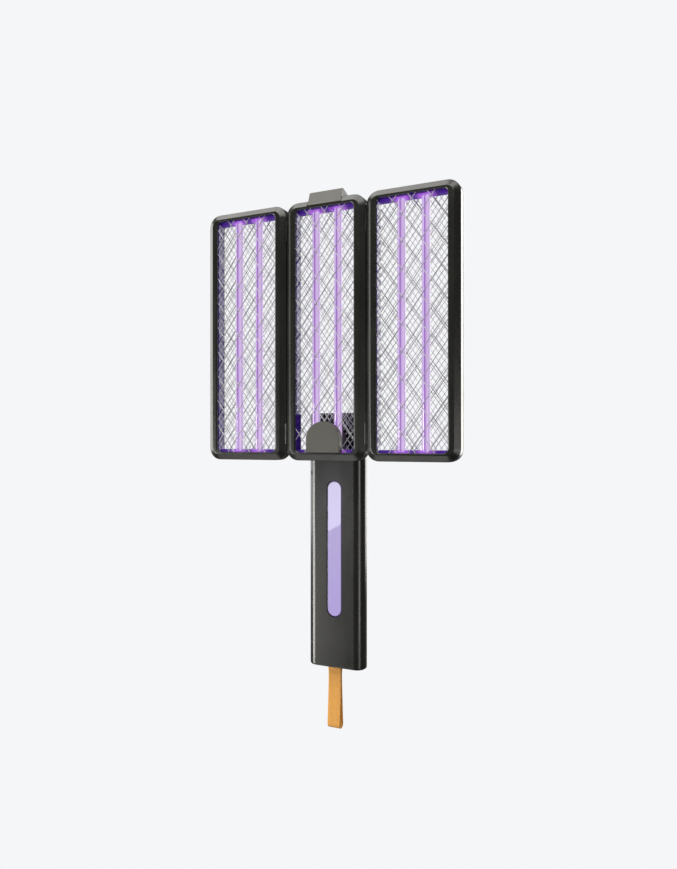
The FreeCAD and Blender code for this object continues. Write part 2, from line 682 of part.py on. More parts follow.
def top_catch():
    """A sprung catch: an arm that leans back and ends in a beak towards the back."""
    body = head_body("top_catch")
    half = f"({d['catch_width']}/2)"
    top = HIGH
    profile = [("0.7", f"{top}-4.2"), ("4.9", f"{top}+7.5"), ("6.2", f"{top}+7.8"),
               ("16.5", f"{top}+4.9"), ("16.2", f"{top}+4.2"), ("8.8", f"{top}+2.4"),
               ("7.2", f"{top}+1.0"), ("5.4", f"{top}-3.3"), ("4.2", f"{top}-4.4"),
               ("1.4", f"{top}-4.7")]
    arm = pad(body, "YZ", f"-{half}", half, (outline, (profile,)))
    edge = size(half)
    fillet(body, arm, "0.9", lambda e: abs(abs(e.CenterOfMass.x) - edge) < 1e-6
           and e.BoundBox.XLength < 1e-6 and e.BoundBox.ZMin > size(top) + 4.8)
    pin = (d["catch_pin_y"], f"{top}-{d['catch_pin_drop']}")
    pocket(body, "YZ", f"-{half}", half,
           (circle, (*pin, f"{d['catch_pin_radius']}+{d['running']}")))
    room = d["spring_room"]
    pocket(body, "YZ", "-3", "3", (circle, (*pin, room)))
    pocket(body, "YZ", "-3", "3", (rectangle, (pin[0], "9", f"{pin[1]}-{room}", f"{pin[1]}+{room}")))


def catch_pin():
    pin = doc.addObject("Part::Cylinder", "catch_pin")
    bind(pin, "Radius", d["catch_pin_radius"])
    bind(pin, "Height", f"{d['catch_width']}+5")
    register(pin, "catch_pin", f"-({d['catch_width']}/2+2.5)", f"{HEAD_Y}+{d['catch_pin_y']}",
             f"{PIVOT_Z}+{HIGH}-{d['catch_pin_drop']}")
    pin.Placement.Rotation = FreeCAD.Rotation(V(0, 1, 0), 90)


top_catch()
catch_pin()
coil_spring("catch_spring", 1.15, 0.4, 4.4, 6, (V(0, 1, 0), 90), "-2.2",
            f"{HEAD_Y}+{d['catch_pin_y']}", f"{PIVOT_Z}+{HIGH}-{d['catch_pin_drop']}")


# ---------------------------------------------------------------- handle

HALF_WIDTH = f"({d['handle_width']}/2)"
HALF_DEPTH = f"({d['handle_depth']}/2)"
HALF_LENGTH = f"({d['handle_length']}/2)"


def half_section(sketch, back, inset):
    """Half of the grip's cross-section, split on its mid-plane, with a rounded edge."""
    sign = 1 if back else -1
    w = size(HALF_WIDTH) - inset
    deep = sign * (size(HALF_DEPTH) - inset)
    r = size(d["handle_edge"]) - inset
    first = sketch.GeometryCount
    straight = deep - sign * r
    if back:
        arcs = [arc_about(w - r, straight, r, 0, 90), arc_about(-w + r, straight, r, 90, 180)]
    else:
        arcs = [arc_about(-w + r, straight, r, 180, 270), arc_about(w - r, straight, r, 270, 360)]
        w = -w
    sketch.addGeometry([
        line_between((w, 0), (w, straight)), arcs[0],
        line_between((w - math.copysign(r, w), deep), (-w + math.copysign(r, w), deep)), arcs[1],
        line_between((-w, straight), (-w, 0)), line_between((-w, 0), (w, 0)),
    ], False)
    rule = Sketcher.Constraint
    rules = [rule("Tangent", first + i, 2, first + i + 1, 1) for i in range(4)]
    rules += [rule("Coincident", first + 4, 2, first + 5, 1),
              rule("Coincident", first + 5, 2, first, 1)]
    rules += [rule("Vertical", first), rule("Vertical", first + 4), rule("Horizontal", first + 2)]
    rules += [rule("Equal", first + 1, first + 3), rule("PointOnObject", first, 1, -1),
              rule("PointOnObject", first + 4, 2, -1)]
    sketch.addConstraint(rules)
    dimension(sketch, "Radius", (first + 1,), f"{d['handle_edge']}-{inset}")
    edge = f"({HALF_WIDTH}-{inset})"
    dimension(sketch, "DistanceX", (-1, 1, first, 1), edge if back else f"-{edge}")
    dimension(sketch, "DistanceX", (-1, 1, first + 4, 2), f"-{edge}" if back else edge)
    dimension(sketch, "DistanceY", (-1, 1, first + 2, 1), f"{sign}*({HALF_DEPTH}-{inset})")


def shell_half(label, back):
    """One half of the grip: outer skin, hollow, screw posts and the strap's pocket."""
    body = new_body(label)
    skin = pad(body, "XY", f"-{HALF_LENGTH}", HALF_LENGTH, (half_section, (back, 0)))
    end = size(HALF_LENGTH)
    fillet(body, skin, d["end_round"],
           lambda e: abs(abs(e.CenterOfMass.z) - end) < 1e-6 and abs(e.CenterOfMass.y) > 0.01)
    wall = d["wall"]
    pocket(body, "XY", f"{wall}-{HALF_LENGTH}", f"{HALF_LENGTH}-{wall}",
           (half_section, (back, DRIVING["wall"])))
    ends = ("0", f"{HALF_DEPTH}-1") if back else (f"1-{HALF_DEPTH}", "0")
    posts = [(circle, (f"{side}*{d['post_x']}", height, d["post_radius"]))
             for side in (-1, 1) for height in (d["post_low"], d["post_high"])]
    pad(body, "XZ", *ends, *posts)
    room_x = f"({d['pocket_half_width']}+1.6)"
    room_y = f"({d['pocket_half_depth']}+1.2)"
    floor = f"-{HALF_LENGTH}"
    limits = ("0", room_y) if back else (f"-{room_y}", "0")
    at = d["strap_x"]
    block = (f"{at}-{room_x}-3", f"{at}+{room_x}+3")
    pad(body, "XY", f"{floor}+1", f"{floor}+{d['pocket_height']}+1.6",
        (rectangle, (*block, *limits)))
    opening = (f"{at}-{d['pocket_half_width']}", f"{at}+{d['pocket_half_width']}")
    deep = ("0", d["pocket_half_depth"]) if back else (f"-{d['pocket_half_depth']}", "0")
    pocket(body, "XY", floor, f"{floor}+{d['pocket_height']}", (rectangle, (*opening, *deep)))
    pin = (circle, ("0", f"{floor}+{d['strap_pin_rise']}", d["strap_pin_radius"]))
    pocket(body, "YZ", f"{at}-{room_x}-1", f"{at}+{room_x}+1", pin)
    return body


def port_outline(margin):
    """The flattened outline of the charging port in the foot of the grip."""
    sides = (f"12.6-{margin}", f"21.6+{margin}")
    return rounded_rectangle, (*sides, f"1.3-{margin}", f"4.5+{margin}", f"1.5+{margin}")


def handle_front_shell():
    body = shell_half("handle_front_shell", False)
    face = f"-{HALF_DEPTH}"
    window = (upright_slot, ("0", f"({d['window_width']}/2)", d["window_bottom"], d["window_top"]))
    pocket(body, "XZ", face, f"{face}+{d['wall']}", window)
    pocket(body, "XZ", face, f"{face}+{d['wall']}",
           (circle, ("0", PIVOT_Z, f"{d['shaft_radius']}+{d['running']}")))
    pocket(body, "XZ", face, f"{face}+{d['wall']}",
           (circle, ("0", f"{PIVOT_Z}-{d['detent_reach']}", f"{d['detent_radius']}")))
    shanks = [(circle, (f"{side}*{d['post_x']}", height, "1.1"))
              for side in (-1, 1) for height in (d["post_low"], d["post_high"])]
    pocket(body, "XZ", f"{face}+3", "0", *shanks)


def handle_rear_shell():
    body = shell_half("handle_rear_shell", True)
    back = HALF_DEPTH
    inner = f"{back}-{d['wall']}"
    pocket(body, "XZ", inner, back,
           (circle, ("0", d["button_z"], f"{d['button_radius']}+{d['play']}")))
    half = f"({d['knob_width']}/2+{d['play']})"
    reach = f"({d['knob_length']}/2+{d['play']})"
    pocket(body, "XZ", inner, back, (rectangle, (
        f"-{half}", half, f"{d['knob_z']}-{reach}", f"{d['knob_z']}+{reach}+{d['knob_travel']}")))
    for radius, start in (("1.1", "0"), ("2.0", f"{back}-3")):
        posts = [(circle, (f"{side}*{d['post_x']}", height, radius))
                 for side in (-1, 1) for height in (d["post_low"], d["post_high"])]
        pocket(body, "XZ", start, back, *posts)
    pocket(body, "XY", f"-{HALF_LENGTH}", f"{d['wall']}-{HALF_LENGTH}", port_outline("0.2"))


def window_lens():
    """The long clear window, flush with the grip, on a thin inner flange."""
    body = new_body("window_lens")
    face = f"-{HALF_DEPTH}"
    half = f"({d['window_width']}/2)"
    wide = f"({half}+{d['lens_flange']})"
    inner = f"{face}+{d['wall']}"
    slot = ("0", f"{half}-0.05", f"{d['window_bottom']}+0.05", f"{d['window_top']}-0.05")
    pad(body, "XZ", f"{face}+0.35", inner, (upright_slot, slot))
    flange = ("0", wide, f"{d['window_bottom']}-{d['lens_flange']}",
              f"{d['window_top']}+{d['lens_flange']}")
    pad(body, "XZ", inner, f"{inner}+0.8", (upright_slot, flange))


def block(label, x, y, z, long, deep, tall):
    box = doc.addObject("Part::Box", label)
    for prop, expression in (("Length", long), ("Width", deep), ("Height", tall)):
        bind(box, prop, expression)
    return register(box, label, x, y, z)


def light_board():
    """A strip board with a row of small lamps facing the window."""
    face = size(f"-{HALF_DEPTH}") + size(d["wall"]) + 0.8
    low, high = size(d["window_bottom"]) + 2, size(d["window_top"]) - 2
    board = Part.makeBox(12, 0.8, high - low, V(-6, face + 1.0, low))
    count = 12
    for k in range(count):
        z = low + (k + 0.5) * (high - low) / count
        board = board.fuse(Part.makeBox(2.8, 0.8, 2.8, V(-1.4, face + 0.2, z - 1.4)))
    solid_feature("light_board", board)


def power_button():
    """The round button under the thumb, with a flange that keeps it in."""
    body = new_body("power_button")
    back = HALF_DEPTH
    inner = f"({back}-{d['wall']})"
    cap = pad(body, "XZ", inner, f"{back}+{d['button_proud']}",
              (circle, ("0", d["button_z"], d["button_radius"])))
    top = size(f"{back}+{d['button_proud']}")
    fillet(body, cap, "0.8", lambda e: abs(e.CenterOfMass.y - top) < 1e-6)
    pad(body, "XZ", f"{inner}-0.8", inner, (circle, ("0", d["button_z"], f"{d['button_radius']}+1.2")))


def mode_switch_knob():
    """The sliding knob, ribbed for the finger, on a wider inner plate."""
    body = new_body("mode_switch_knob")
    back = HALF_DEPTH
    inner = f"({back}-{d['wall']})"
    half = f"({d['knob_width']}/2)"
    reach = f"({d['knob_length']}/2)"
    z = d["knob_z"]
    pad(body, "XZ", inner, f"{back}+1", (rectangle, (f"-{half}", half, f"{z}-{reach}", f"{z}+{reach}")))
    cover = f"({reach}+{d['knob_travel']}+0.4)"
    plate = (f"-{half}-1.2", f"{half}+1.2", f"{z}-{cover}", f"{z}+{cover}")
    pad(body, "XZ", f"{inner}-0.7", inner, (rectangle, plate))
    grooves = [(rectangle, (f"-{half}", half, f"{z}+{k}", f"{z}+{k}+0.6"))
               for k in (-2.6, -1.0, 0.6, 2.2)]
    pocket(body, "XZ", f"{back}+0.5", f"{back}+1", *grooves)


def circuit_board():
    """The main board with the boards' larger parts standing on it."""
    board = Part.makeBox(32, 1.6, 84, V(-16, -0.4, -24))
    for x, z, wide, tall, deep in ((-11, 22, 8, 8, 3.2), (8, 24, 9, 6, 2.4), (-10, -8, 7, 7, 1.6),
                                   (9, -12, 6, 9, 2.0), (-12, 46, 6, 6, 2.6)):
        board = board.fuse(Part.makeBox(wide, deep, tall, V(x - wide / 2, 1.2, z - tall / 2)))
    solid_feature("main_board", board)


def transformer():
    """The step-up transformer: a wound bobbin inside a square core."""
    core = Part.makeBox(13, 5.2, 11, V(-6.5, 1.2, -50))
    window = Part.makeBox(9, 8, 7, V(-4.5, 0, -48))
    bobbin = Part.makeBox(8.8, 4.8, 6.8, V(-4.4, 1.4, -47.9))
    solid_feature("step_up_transformer", core.cut(window).fuse(bobbin))


def usb_port():
    """The charging port: a thin metal tube round a flat tongue."""
    body = new_body("usb_port")
    foot = f"0.3-{HALF_LENGTH}"
    pad(body, "XY", foot, f"{foot}+7.3", port_outline("0"))
    pocket(body, "XY", foot, f"{foot}+6.3", port_outline("-0.4"))
    pad(body, "XY", f"{foot}+0.6", f"{foot}+7", (rectangle, ("14", "20.2", "2.6", "3.2")))


def strap_pin():
    pin = doc.addObject("Part::Cylinder", "strap_pin")
    bind(pin, "Radius", d["strap_pin_radius"])
    bind(pin, "Height", f"2*({d['pocket_half_width']}+2.6)")
    register(pin, "strap_pin", f"{d['strap_x']}-({d['pocket_half_width']}+2.6)", "0",
             f"{d['strap_pin_rise']}-{HALF_LENGTH}")
    pin.Placement.Rotation = FreeCAD.Rotation(V(0, 1, 0), 90)


def wrist_strap():
    """The flat webbing loop that hangs from the pin: two plies, sewn near the top."""
    thick = size(d["strap_thick"])
    pin = size(d["strap_pin_radius"])
    top = size(f"{d['strap_pin_rise']}-{HALF_LENGTH}")
    bottom = size(f"-{HALF_LENGTH}-{d['strap_drop']}")
    around, bend = pin + thick + 0.05, 3.7
    neck_z, neck_half = top - 11.0, thick + 0.05
    low = bottom + bend

    width = size(d["strap_width"])
    x = size(d["strap_x"]) - width / 2

    def face(upper, lower, waist, waist_z):
        """A closed outline: a round top, a waist and a round bottom."""
        points = [V(x, -upper, top), V(x, -waist, waist_z), V(x, -lower, low), V(x, 0, low - lower),
                  V(x, lower, low), V(x, waist, waist_z), V(x, upper, top), V(x, 0, top + upper)]
        edges = [Part.LineSegment(points[0], points[1]), Part.LineSegment(points[1], points[2]),
                 Part.Arc(points[2], points[3], points[4]), Part.LineSegment(points[4], points[5]),
                 Part.LineSegment(points[5], points[6]), Part.Arc(points[6], points[7], points[0])]
        return Part.Face(Part.Wire([edge.toShape() for edge in edges]))

    inner_low = bend - thick
    tip = V(x, 0, neck_z - 4)
    slit = [Part.LineSegment(tip, V(x, -inner_low, low)),
            Part.Arc(V(x, -inner_low, low), V(x, 0, low - inner_low), V(x, inner_low, low)),
            Part.LineSegment(V(x, inner_low, low), tip)]
    web = face(around, bend, neck_half, neck_z).extrude(V(width, 0, 0))
    loop = Part.Face(Part.Wire([edge.toShape() for edge in slit])).extrude(V(width, 0, 0))
    hole = Part.makeCylinder(pin + size(d["running"]), width, V(x, 0, top), V(1, 0, 0))
    solid_feature("wrist_strap", web.cut(loop).cut(hole))


def handle_screws():
    back = size(HALF_DEPTH)
    screws = []
    for side in (-1, 1):
        for height in (size(d["post_low"]), size(d["post_high"])):
            x = side * size(d["post_x"])
            shank = Part.makeCylinder(1.1, 2 * back - 6.5, V(x, -back + 3.5, height), V(0, 1, 0))
            head = Part.makeCylinder(1.9, 1.4, V(x, back - 3, height), V(0, 1, 0))
            arms = [Part.makeBox(long, 0.7, wide, V(x - long / 2, back - 2.3, height - wide / 2))
                    for long, wide in ((2.2, 0.5), (0.5, 2.2))]
            screws.append(shank.fuse(head).cut(arms[0].fuse(arms[1])))
    solid_feature("handle_screws", Part.makeCompound(screws))


handle_front_shell()
handle_rear_shell()
window_lens()
light_board()
power_button()
block("button_switch", "-3", "-0.2+1.6", f"{d['button_z']}-3", "6", "2.5", "6")
mode_switch_knob()
circuit_board()
transformer()
block("battery", "-15", "-2.6", f"-{HALF_LENGTH}+12", "30", "9", "46")
usb_port()
strap_pin()
wrist_strap()
handle_screws()

# ---------------------------------------------------------------- checks and files

doc.recompute()
faults = [f"{o.Name}: {o.State}" for o in doc.Objects if {"Invalid", "Error"} & set(o.State)]
for node in nodes:
    if node.Shape.isNull() or not node.Shape.isValid() or not node.Shape.Solids:
        faults.append(f"{node.Label}: bad shape")
if len({node.Label for node in nodes}) != len(nodes) or len(nodes) > 60:
    faults.append("labels repeat, or there are too many nodes")
if faults:
    raise RuntimeError("; ".join(faults))
os.makedirs("parts", exist_ok=True)
for node in nodes:
    node.Shape.exportStep(f"parts/{node.Label}.step")
print(len(nodes), "nodes written")
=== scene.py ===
import json
import math

import bmesh
import bpy
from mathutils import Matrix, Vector


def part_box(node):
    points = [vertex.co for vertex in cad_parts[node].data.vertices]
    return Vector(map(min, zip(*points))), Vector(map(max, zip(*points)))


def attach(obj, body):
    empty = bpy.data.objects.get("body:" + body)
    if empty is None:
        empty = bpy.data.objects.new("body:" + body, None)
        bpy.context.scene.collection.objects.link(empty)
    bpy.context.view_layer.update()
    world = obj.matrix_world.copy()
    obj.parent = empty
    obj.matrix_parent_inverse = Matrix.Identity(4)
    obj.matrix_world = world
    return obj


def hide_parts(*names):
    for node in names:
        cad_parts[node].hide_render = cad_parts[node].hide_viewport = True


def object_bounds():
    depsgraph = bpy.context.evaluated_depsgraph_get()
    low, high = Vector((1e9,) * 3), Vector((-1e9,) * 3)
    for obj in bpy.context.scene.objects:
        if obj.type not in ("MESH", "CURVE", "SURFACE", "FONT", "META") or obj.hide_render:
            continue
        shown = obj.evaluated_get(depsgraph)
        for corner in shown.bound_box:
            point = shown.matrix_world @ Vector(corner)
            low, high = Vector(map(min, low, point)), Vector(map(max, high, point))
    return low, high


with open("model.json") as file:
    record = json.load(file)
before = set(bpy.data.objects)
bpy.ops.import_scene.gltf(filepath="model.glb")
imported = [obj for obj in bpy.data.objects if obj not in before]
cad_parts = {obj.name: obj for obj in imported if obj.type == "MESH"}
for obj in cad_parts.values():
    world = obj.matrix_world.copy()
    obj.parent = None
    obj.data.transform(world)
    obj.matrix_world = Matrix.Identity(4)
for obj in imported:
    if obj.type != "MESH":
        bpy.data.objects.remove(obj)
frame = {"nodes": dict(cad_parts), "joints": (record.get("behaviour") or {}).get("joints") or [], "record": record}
cad_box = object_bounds()

MM = 0.001
PANELS = ("centre", "left", "right")
BODY_OF = {node: body for body, nodes in frame["record"]["behaviour"]["bodies"].items()
           for node in nodes}
SLOT_OF = {row["node"]: row["material_slot"] for row in frame["record"]["subparts"]}
JOINTS = {joint["name"]: joint for joint in frame["joints"]}


def corners(node):
    """A node's lowest and highest corners, as vectors."""
    low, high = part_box(node)
    return Vector(low), Vector(high)


LIP_Y = corners("centre_front_frame")[0].y
PIVOT_Z = JOINTS["head_swivel"]["pos_m"][2]
GRIP_LOW, GRIP_HIGH = corners("handle_front_shell")
WINDOW_FLANGE, WINDOW_GAP = 1.5 * MM, 0.6 * MM


# ---------------------------------------------------------------- material helpers

class Nodes:
    """A small wrapper that adds and links shader nodes."""

    def __init__(self, name):
        self.material = bpy.data.materials.new(name)
        self.material.use_nodes = True
        self.tree = self.material.node_tree
        self.shader = self.tree.nodes["Principled BSDF"]

    def add(self, kind, **values):
        node = self.tree.nodes.new(kind)
        for key, value in values.items():
            if hasattr(node, key):
                setattr(node, key, value)
            else:
                node.inputs[key.replace("_", " ")].default_value = value
        return node

    def link(self, source, target):
        self.tree.links.new(source, target)

    def set(self, **values):
        for key, value in values.items():
            self.shader.inputs[key.replace("_", " ")].default_value = value

    def object_point(self):
        return self.add("ShaderNodeTexCoord").outputs["Object"]

    def noise(self, scale, detail=2.0, stretch=None):
        point = self.object_point()
        if stretch:
            mapping = self.add("ShaderNodeMapping")
            mapping.inputs["Scale"].default_value = stretch
            self.link(point, mapping.inputs["Vector"])
            point = mapping.outputs["Vector"]
        noise = self.add("ShaderNodeTexNoise", Scale=scale, Detail=detail)
        self.link(point, noise.inputs["Vector"])
        return noise.outputs["Fac"]

    def spread(self, source, low, high):
        """Map a 0-1 value to a range."""
        node = self.add("ShaderNodeMapRange", From_Min=0.3, From_Max=0.7, To_Min=low, To_Max=high)
        self.link(source, node.inputs["Value"])
        return node.outputs["Result"]

    def tint(self, source, dark, light):
        mix = self.add("ShaderNodeMix", data_type="RGBA")
        self.link(source, mix.inputs["Factor"])
        mix.inputs["A"].default_value = (*dark, 1)
        mix.inputs["B"].default_value = (*light, 1)
        self.link(mix.outputs["Result"], self.shader.inputs["Base Color"])
        return mix.outputs["Result"]

    def bump(self, height, strength, distance):
        node = self.add("ShaderNodeBump", Strength=strength, Distance=distance)
        self.link(height, node.inputs["Height"])
        self.link(node.outputs["Normal"], self.shader.inputs["Normal"])


def moulded_plastic(name, dark, light, roughness, grain_scale=2600, grain=0.12):
    """Satin moulded plastic: fine spark-erosion grain and faint handling marks."""
    nodes = Nodes(name)
    nodes.tint(nodes.spread(nodes.noise(38, 3), 0, 1), dark, light)
    smudge = nodes.noise(55, 4, (1, 1, 0.35))
    rough = nodes.spread(smudge, roughness - 0.05, roughness + 0.06)
    nodes.link(rough, nodes.shader.inputs["Roughness"])
    nodes.bump(nodes.noise(grain_scale, 2), grain, 0.00004)
    nodes.set(Specular_IOR_Level=0.55)
    return nodes.material


def drawn_metal(name, colour, roughness, scratch=(1, 1, 1), metallic=1.0):
    """Bare metal with fine drawing marks."""
    nodes = Nodes(name)
    marks = nodes.noise(900, 3, scratch)
    darker = tuple(0.72 * c for c in colour)
    nodes.tint(nodes.spread(marks, 0, 1), darker, colour)
    nodes.link(nodes.spread(marks, roughness - 0.06, roughness + 0.1),
               nodes.shader.inputs["Roughness"])
    nodes.bump(marks, 0.15, 0.00003)
    nodes.set(Metallic=metallic)
    return nodes.material


def glossy_wall_with_painted_glow():
    """Polished dark violet plastic that mirrors the wires and the lit tubes, with a faint painted violet glow for
    the tubes' light on it.
    """
    nodes = Nodes("carrier_gloss")
    nodes.tint(nodes.spread(nodes.noise(60, 2), 0, 1), (0.008, 0.003, 0.050), (0.018, 0.006, 0.085))
    nodes.link(nodes.spread(nodes.noise(120, 3), 0.05, 0.11), nodes.shader.inputs["Roughness"])
    nodes.bump(nodes.noise(140, 2), 0.05, 0.0002)
    # Painted glow: a faint violet emission stands for the tubes' light on the inner wall.
    nodes.set(Coat_Weight=0.1, Coat_Roughness=0.05, IOR=1.45, Specular_IOR_Level=0.3,
              Emission_Color=(0.022, 0.005, 0.11, 1), Emission_Strength=0.45)
    return nodes.material


def socket_glow(name, tube_places):
    """Dark violet socket bars with a painted violet glow about the ends of the two tubes, standing for the tubes'
    light on them.
    """
    nodes = Nodes(name)
    split = nodes.add("ShaderNodeSeparateXYZ")
    nodes.link(nodes.object_point(), split.inputs["Vector"])
    glows = []
    for place in tube_places:
        aside = nodes.add("ShaderNodeMath", operation="SUBTRACT")
        nodes.link(split.outputs["X"], aside.inputs[0])
        aside.inputs[1].default_value = place
        away = nodes.add("ShaderNodeMath", operation="ABSOLUTE")
        nodes.link(aside.outputs["Value"], away.inputs[0])
        near = nodes.add("ShaderNodeMapRange", From_Min=0.003, From_Max=0.011,
                         To_Min=1.0, To_Max=0.0, interpolation_type="SMOOTHSTEP")
        nodes.link(away.outputs["Value"], near.inputs["Value"])
        glows.append(near.outputs["Result"])
    total = nodes.add("ShaderNodeMath", operation="MAXIMUM")
    nodes.link(glows[0], total.inputs[0])
    nodes.link(glows[1], total.inputs[1])
    uneven = nodes.add("ShaderNodeMath", operation="MULTIPLY")
    nodes.link(total.outputs["Value"], uneven.inputs[0])
    nodes.link(nodes.spread(nodes.noise(420, 2), 0.45, 1.1), uneven.inputs[1])
    # Painted glow: the bars' emission brightens from deep to light violet near each tube's end.
    mix = nodes.add("ShaderNodeMix", data_type="RGBA")
    nodes.link(uneven.outputs["Value"], mix.inputs["Factor"])
    mix.inputs["A"].default_value = (0.045, 0.010, 0.17, 1)
    mix.inputs["B"].default_value = (0.42, 0.14, 0.70, 1)
    nodes.link(mix.outputs["Result"], nodes.shader.inputs["Emission Color"])
    nodes.set(Base_Color=(0.03, 0.01, 0.12, 1), Emission_Strength=1.0, Roughness=0.25)
    return nodes.material


def lamp_glow(name, centre_x, radius):
    """A lit lamp tube: a pale violet haze with the deeper arc a little off its middle."""
    nodes = Nodes(name)
    split = nodes.add("ShaderNodeSeparateXYZ")
    nodes.link(nodes.object_point(), split.inputs["Vector"])
    across = nodes.add("ShaderNodeMapRange", From_Min=centre_x - radius, From_Max=centre_x + radius,
                       To_Min=0.0, To_Max=1.0)
    nodes.link(split.outputs["X"], across.inputs["Value"])
    ramp = nodes.add("ShaderNodeValToRGB")
    stops = ((0.0, (0.42, 0.30, 0.60)), (0.14, (0.48, 0.34, 0.66)), (0.30, (0.78, 0.58, 0.97)),
             (0.42, (0.30, 0.14, 0.47)), (0.54, (0.28, 0.13, 0.45)), (0.66, (0.60, 0.38, 0.78)),
             (0.84, (0.66, 0.52, 0.78)), (1.0, (0.48, 0.34, 0.62)))
    elements = ramp.color_ramp.elements
    while len(elements) < len(stops):
        elements.new(0.5)
    for element, (position, colour) in zip(elements, stops):
        element.position = position
        element.color = (*colour, 1)
    nodes.link(across.outputs["Result"], ramp.inputs["Fac"])
    flicker = nodes.noise(60, 2, (1, 1, 0.2))
    mix = nodes.add("ShaderNodeMix", data_type="RGBA", blend_type="MULTIPLY")
    mix.inputs["Factor"].default_value = 0.35
    nodes.link(ramp.outputs["Color"], mix.inputs["A"])
    nodes.link(nodes.spread(flicker, 0.75, 1.1), mix.inputs["B"])
    nodes.link(mix.outputs["Result"], nodes.shader.inputs["Emission Color"])
    nodes.set(Base_Color=(0.03, 0.02, 0.05, 1), Emission_Strength=1.0, Roughness=0.12,
              Alpha=0.88, Coat_Weight=0.5)
    return nodes.material


def window_rim_shade(nodes, split):
    """1 at the window's outline and beyond it, 0 inside it: where the lens gets its painted shade line."""
    low, high = corners("window_lens")
    half = high.x - WINDOW_FLANGE - WINDOW_GAP
    straight = (high.z - low.z) / 2 - high.x
    steps = (("SUBTRACT", (low.z + high.z) / 2), ("ABSOLUTE", 0.0), ("SUBTRACT", straight),
             ("MAXIMUM", 0.0))
    past = split.outputs["Z"]
    for operation, value in steps:
        step = nodes.add("ShaderNodeMath", operation=operation)
        nodes.link(past, step.inputs[0])
        step.inputs[1].default_value = value
        past = step.outputs["Value"]
    away = nodes.add("ShaderNodeCombineXYZ")
    nodes.link(split.outputs["X"], away.inputs["X"])
    nodes.link(past, away.inputs["Y"])
    length = nodes.add("ShaderNodeVectorMath", operation="LENGTH")
    nodes.link(away.outputs["Vector"], length.inputs[0])
    edge = nodes.add("ShaderNodeMapRange", From_Min=half - 0.9 * MM, From_Max=half - 0.1 * MM,
                     interpolation_type="SMOOTHSTEP")
    nodes.link(length.outputs["Value"], edge.inputs["Value"])
    return edge.outputs["Result"]


def window_material():
    """The clear window: milky violet light behind a polished face, with a painted shade line darkening its
    outline.
    """
    nodes = Nodes("window_violet")
    split = nodes.add("ShaderNodeSeparateXYZ")
    nodes.link(nodes.object_point(), split.inputs["Vector"])
    low, high = corners("window_lens")
    along = nodes.add("ShaderNodeMapRange", From_Min=low.z, From_Max=high.z, To_Min=0, To_Max=1)
    nodes.link(split.outputs["Z"], along.inputs["Value"])
    blotch = nodes.spread(nodes.noise(160, 3), -0.06, 0.06)
    total = nodes.add("ShaderNodeMath", operation="ADD")
    nodes.link(along.outputs["Result"], total.inputs[0])
    nodes.link(blotch, total.inputs[1])
    ramp = nodes.add("ShaderNodeValToRGB")
    ramp.color_ramp.elements[0].color = (0.240, 0.198, 0.40, 1)
    ramp.color_ramp.elements[1].color = (0.272, 0.243, 0.392, 1)
    nodes.link(total.outputs["Value"], ramp.inputs["Fac"])
    # Painted shade: the lens darkens to deep violet along its outline, where the gap about it would shade it.
    rim = nodes.add("ShaderNodeMix", data_type="RGBA")
    nodes.link(window_rim_shade(nodes, split), rim.inputs["Factor"])
    nodes.link(ramp.outputs["Color"], rim.inputs["A"])
    rim.inputs["B"].default_value = (0.045, 0.030, 0.085, 1)
    nodes.link(rim.outputs["Result"], nodes.shader.inputs["Base Color"])
    nodes.link(rim.outputs["Result"], nodes.shader.inputs["Emission Color"])
    nodes.set(Emission_Strength=0.72, Roughness=0.03, Coat_Weight=0.5, Coat_Roughness=0.02)
    return nodes.material


def webbing_material():
    """Woven orange webbing: a fine rib across and warp threads along, with painted shade in the weave's dips."""
    nodes = Nodes("strap_orange")
    point = nodes.object_point()
    split = nodes.add("ShaderNodeSeparateXYZ")
    nodes.link(point, split.inputs["Vector"])
    waves = []
    for axis, pitch in (("X", 0.00065), ("Z", 0.0009)):
        scaled = nodes.add("ShaderNodeMath", operation="MULTIPLY")
        scaled.inputs[1].default_value = 2 * math.pi / pitch
        nodes.link(split.outputs[axis], scaled.inputs[0])
        wave = nodes.add("ShaderNodeMath", operation="SINE")
        nodes.link(scaled.outputs["Value"], wave.inputs[0])
        waves.append(wave.outputs["Value"])
    weave = nodes.add("ShaderNodeMath", operation="MULTIPLY")
    nodes.link(waves[0], weave.inputs[0])
    nodes.link(waves[1], weave.inputs[1])
    height = nodes.add("ShaderNodeMapRange", From_Min=-1.0, From_Max=1.0)
    nodes.link(weave.outputs["Value"], height.inputs["Value"])
    # Painted shade: the orange darkens where the weave dips, following the bump's height.
    colour = nodes.tint(height.outputs["Result"], (0.53, 0.235, 0.038), (0.73, 0.36, 0.070))
    worn = nodes.add("ShaderNodeMix", data_type="RGBA", blend_type="MULTIPLY")
    worn.inputs["Factor"].default_value = 1.0
    nodes.link(colour, worn.inputs["A"])
    nodes.link(nodes.spread(nodes.noise(240, 3), 0.95, 1.03), worn.inputs["B"])
    nodes.link(worn.outputs["Result"], nodes.shader.inputs["Base Color"])
    nodes.bump(height.outputs["Result"], 0.55, 0.00012)
    nodes.set(Roughness=0.72, Sheen_Weight=0.35, Sheen_Roughness=0.4)
    return nodes.material


def lacquered_board():
    """Green solder mask with a faint pattern of tracks."""
    nodes = Nodes("board_green")
    voronoi = nodes.add("ShaderNodeTexVoronoi", Scale=420.0, feature="DISTANCE_TO_EDGE")
    nodes.link(nodes.object_point(), voronoi.inputs["Vector"])
    nodes.tint(voronoi.outputs["Distance"], (0.05, 0.22, 0.10), (0.015, 0.10, 0.045))
    nodes.set(Roughness=0.3)
    return nodes.material


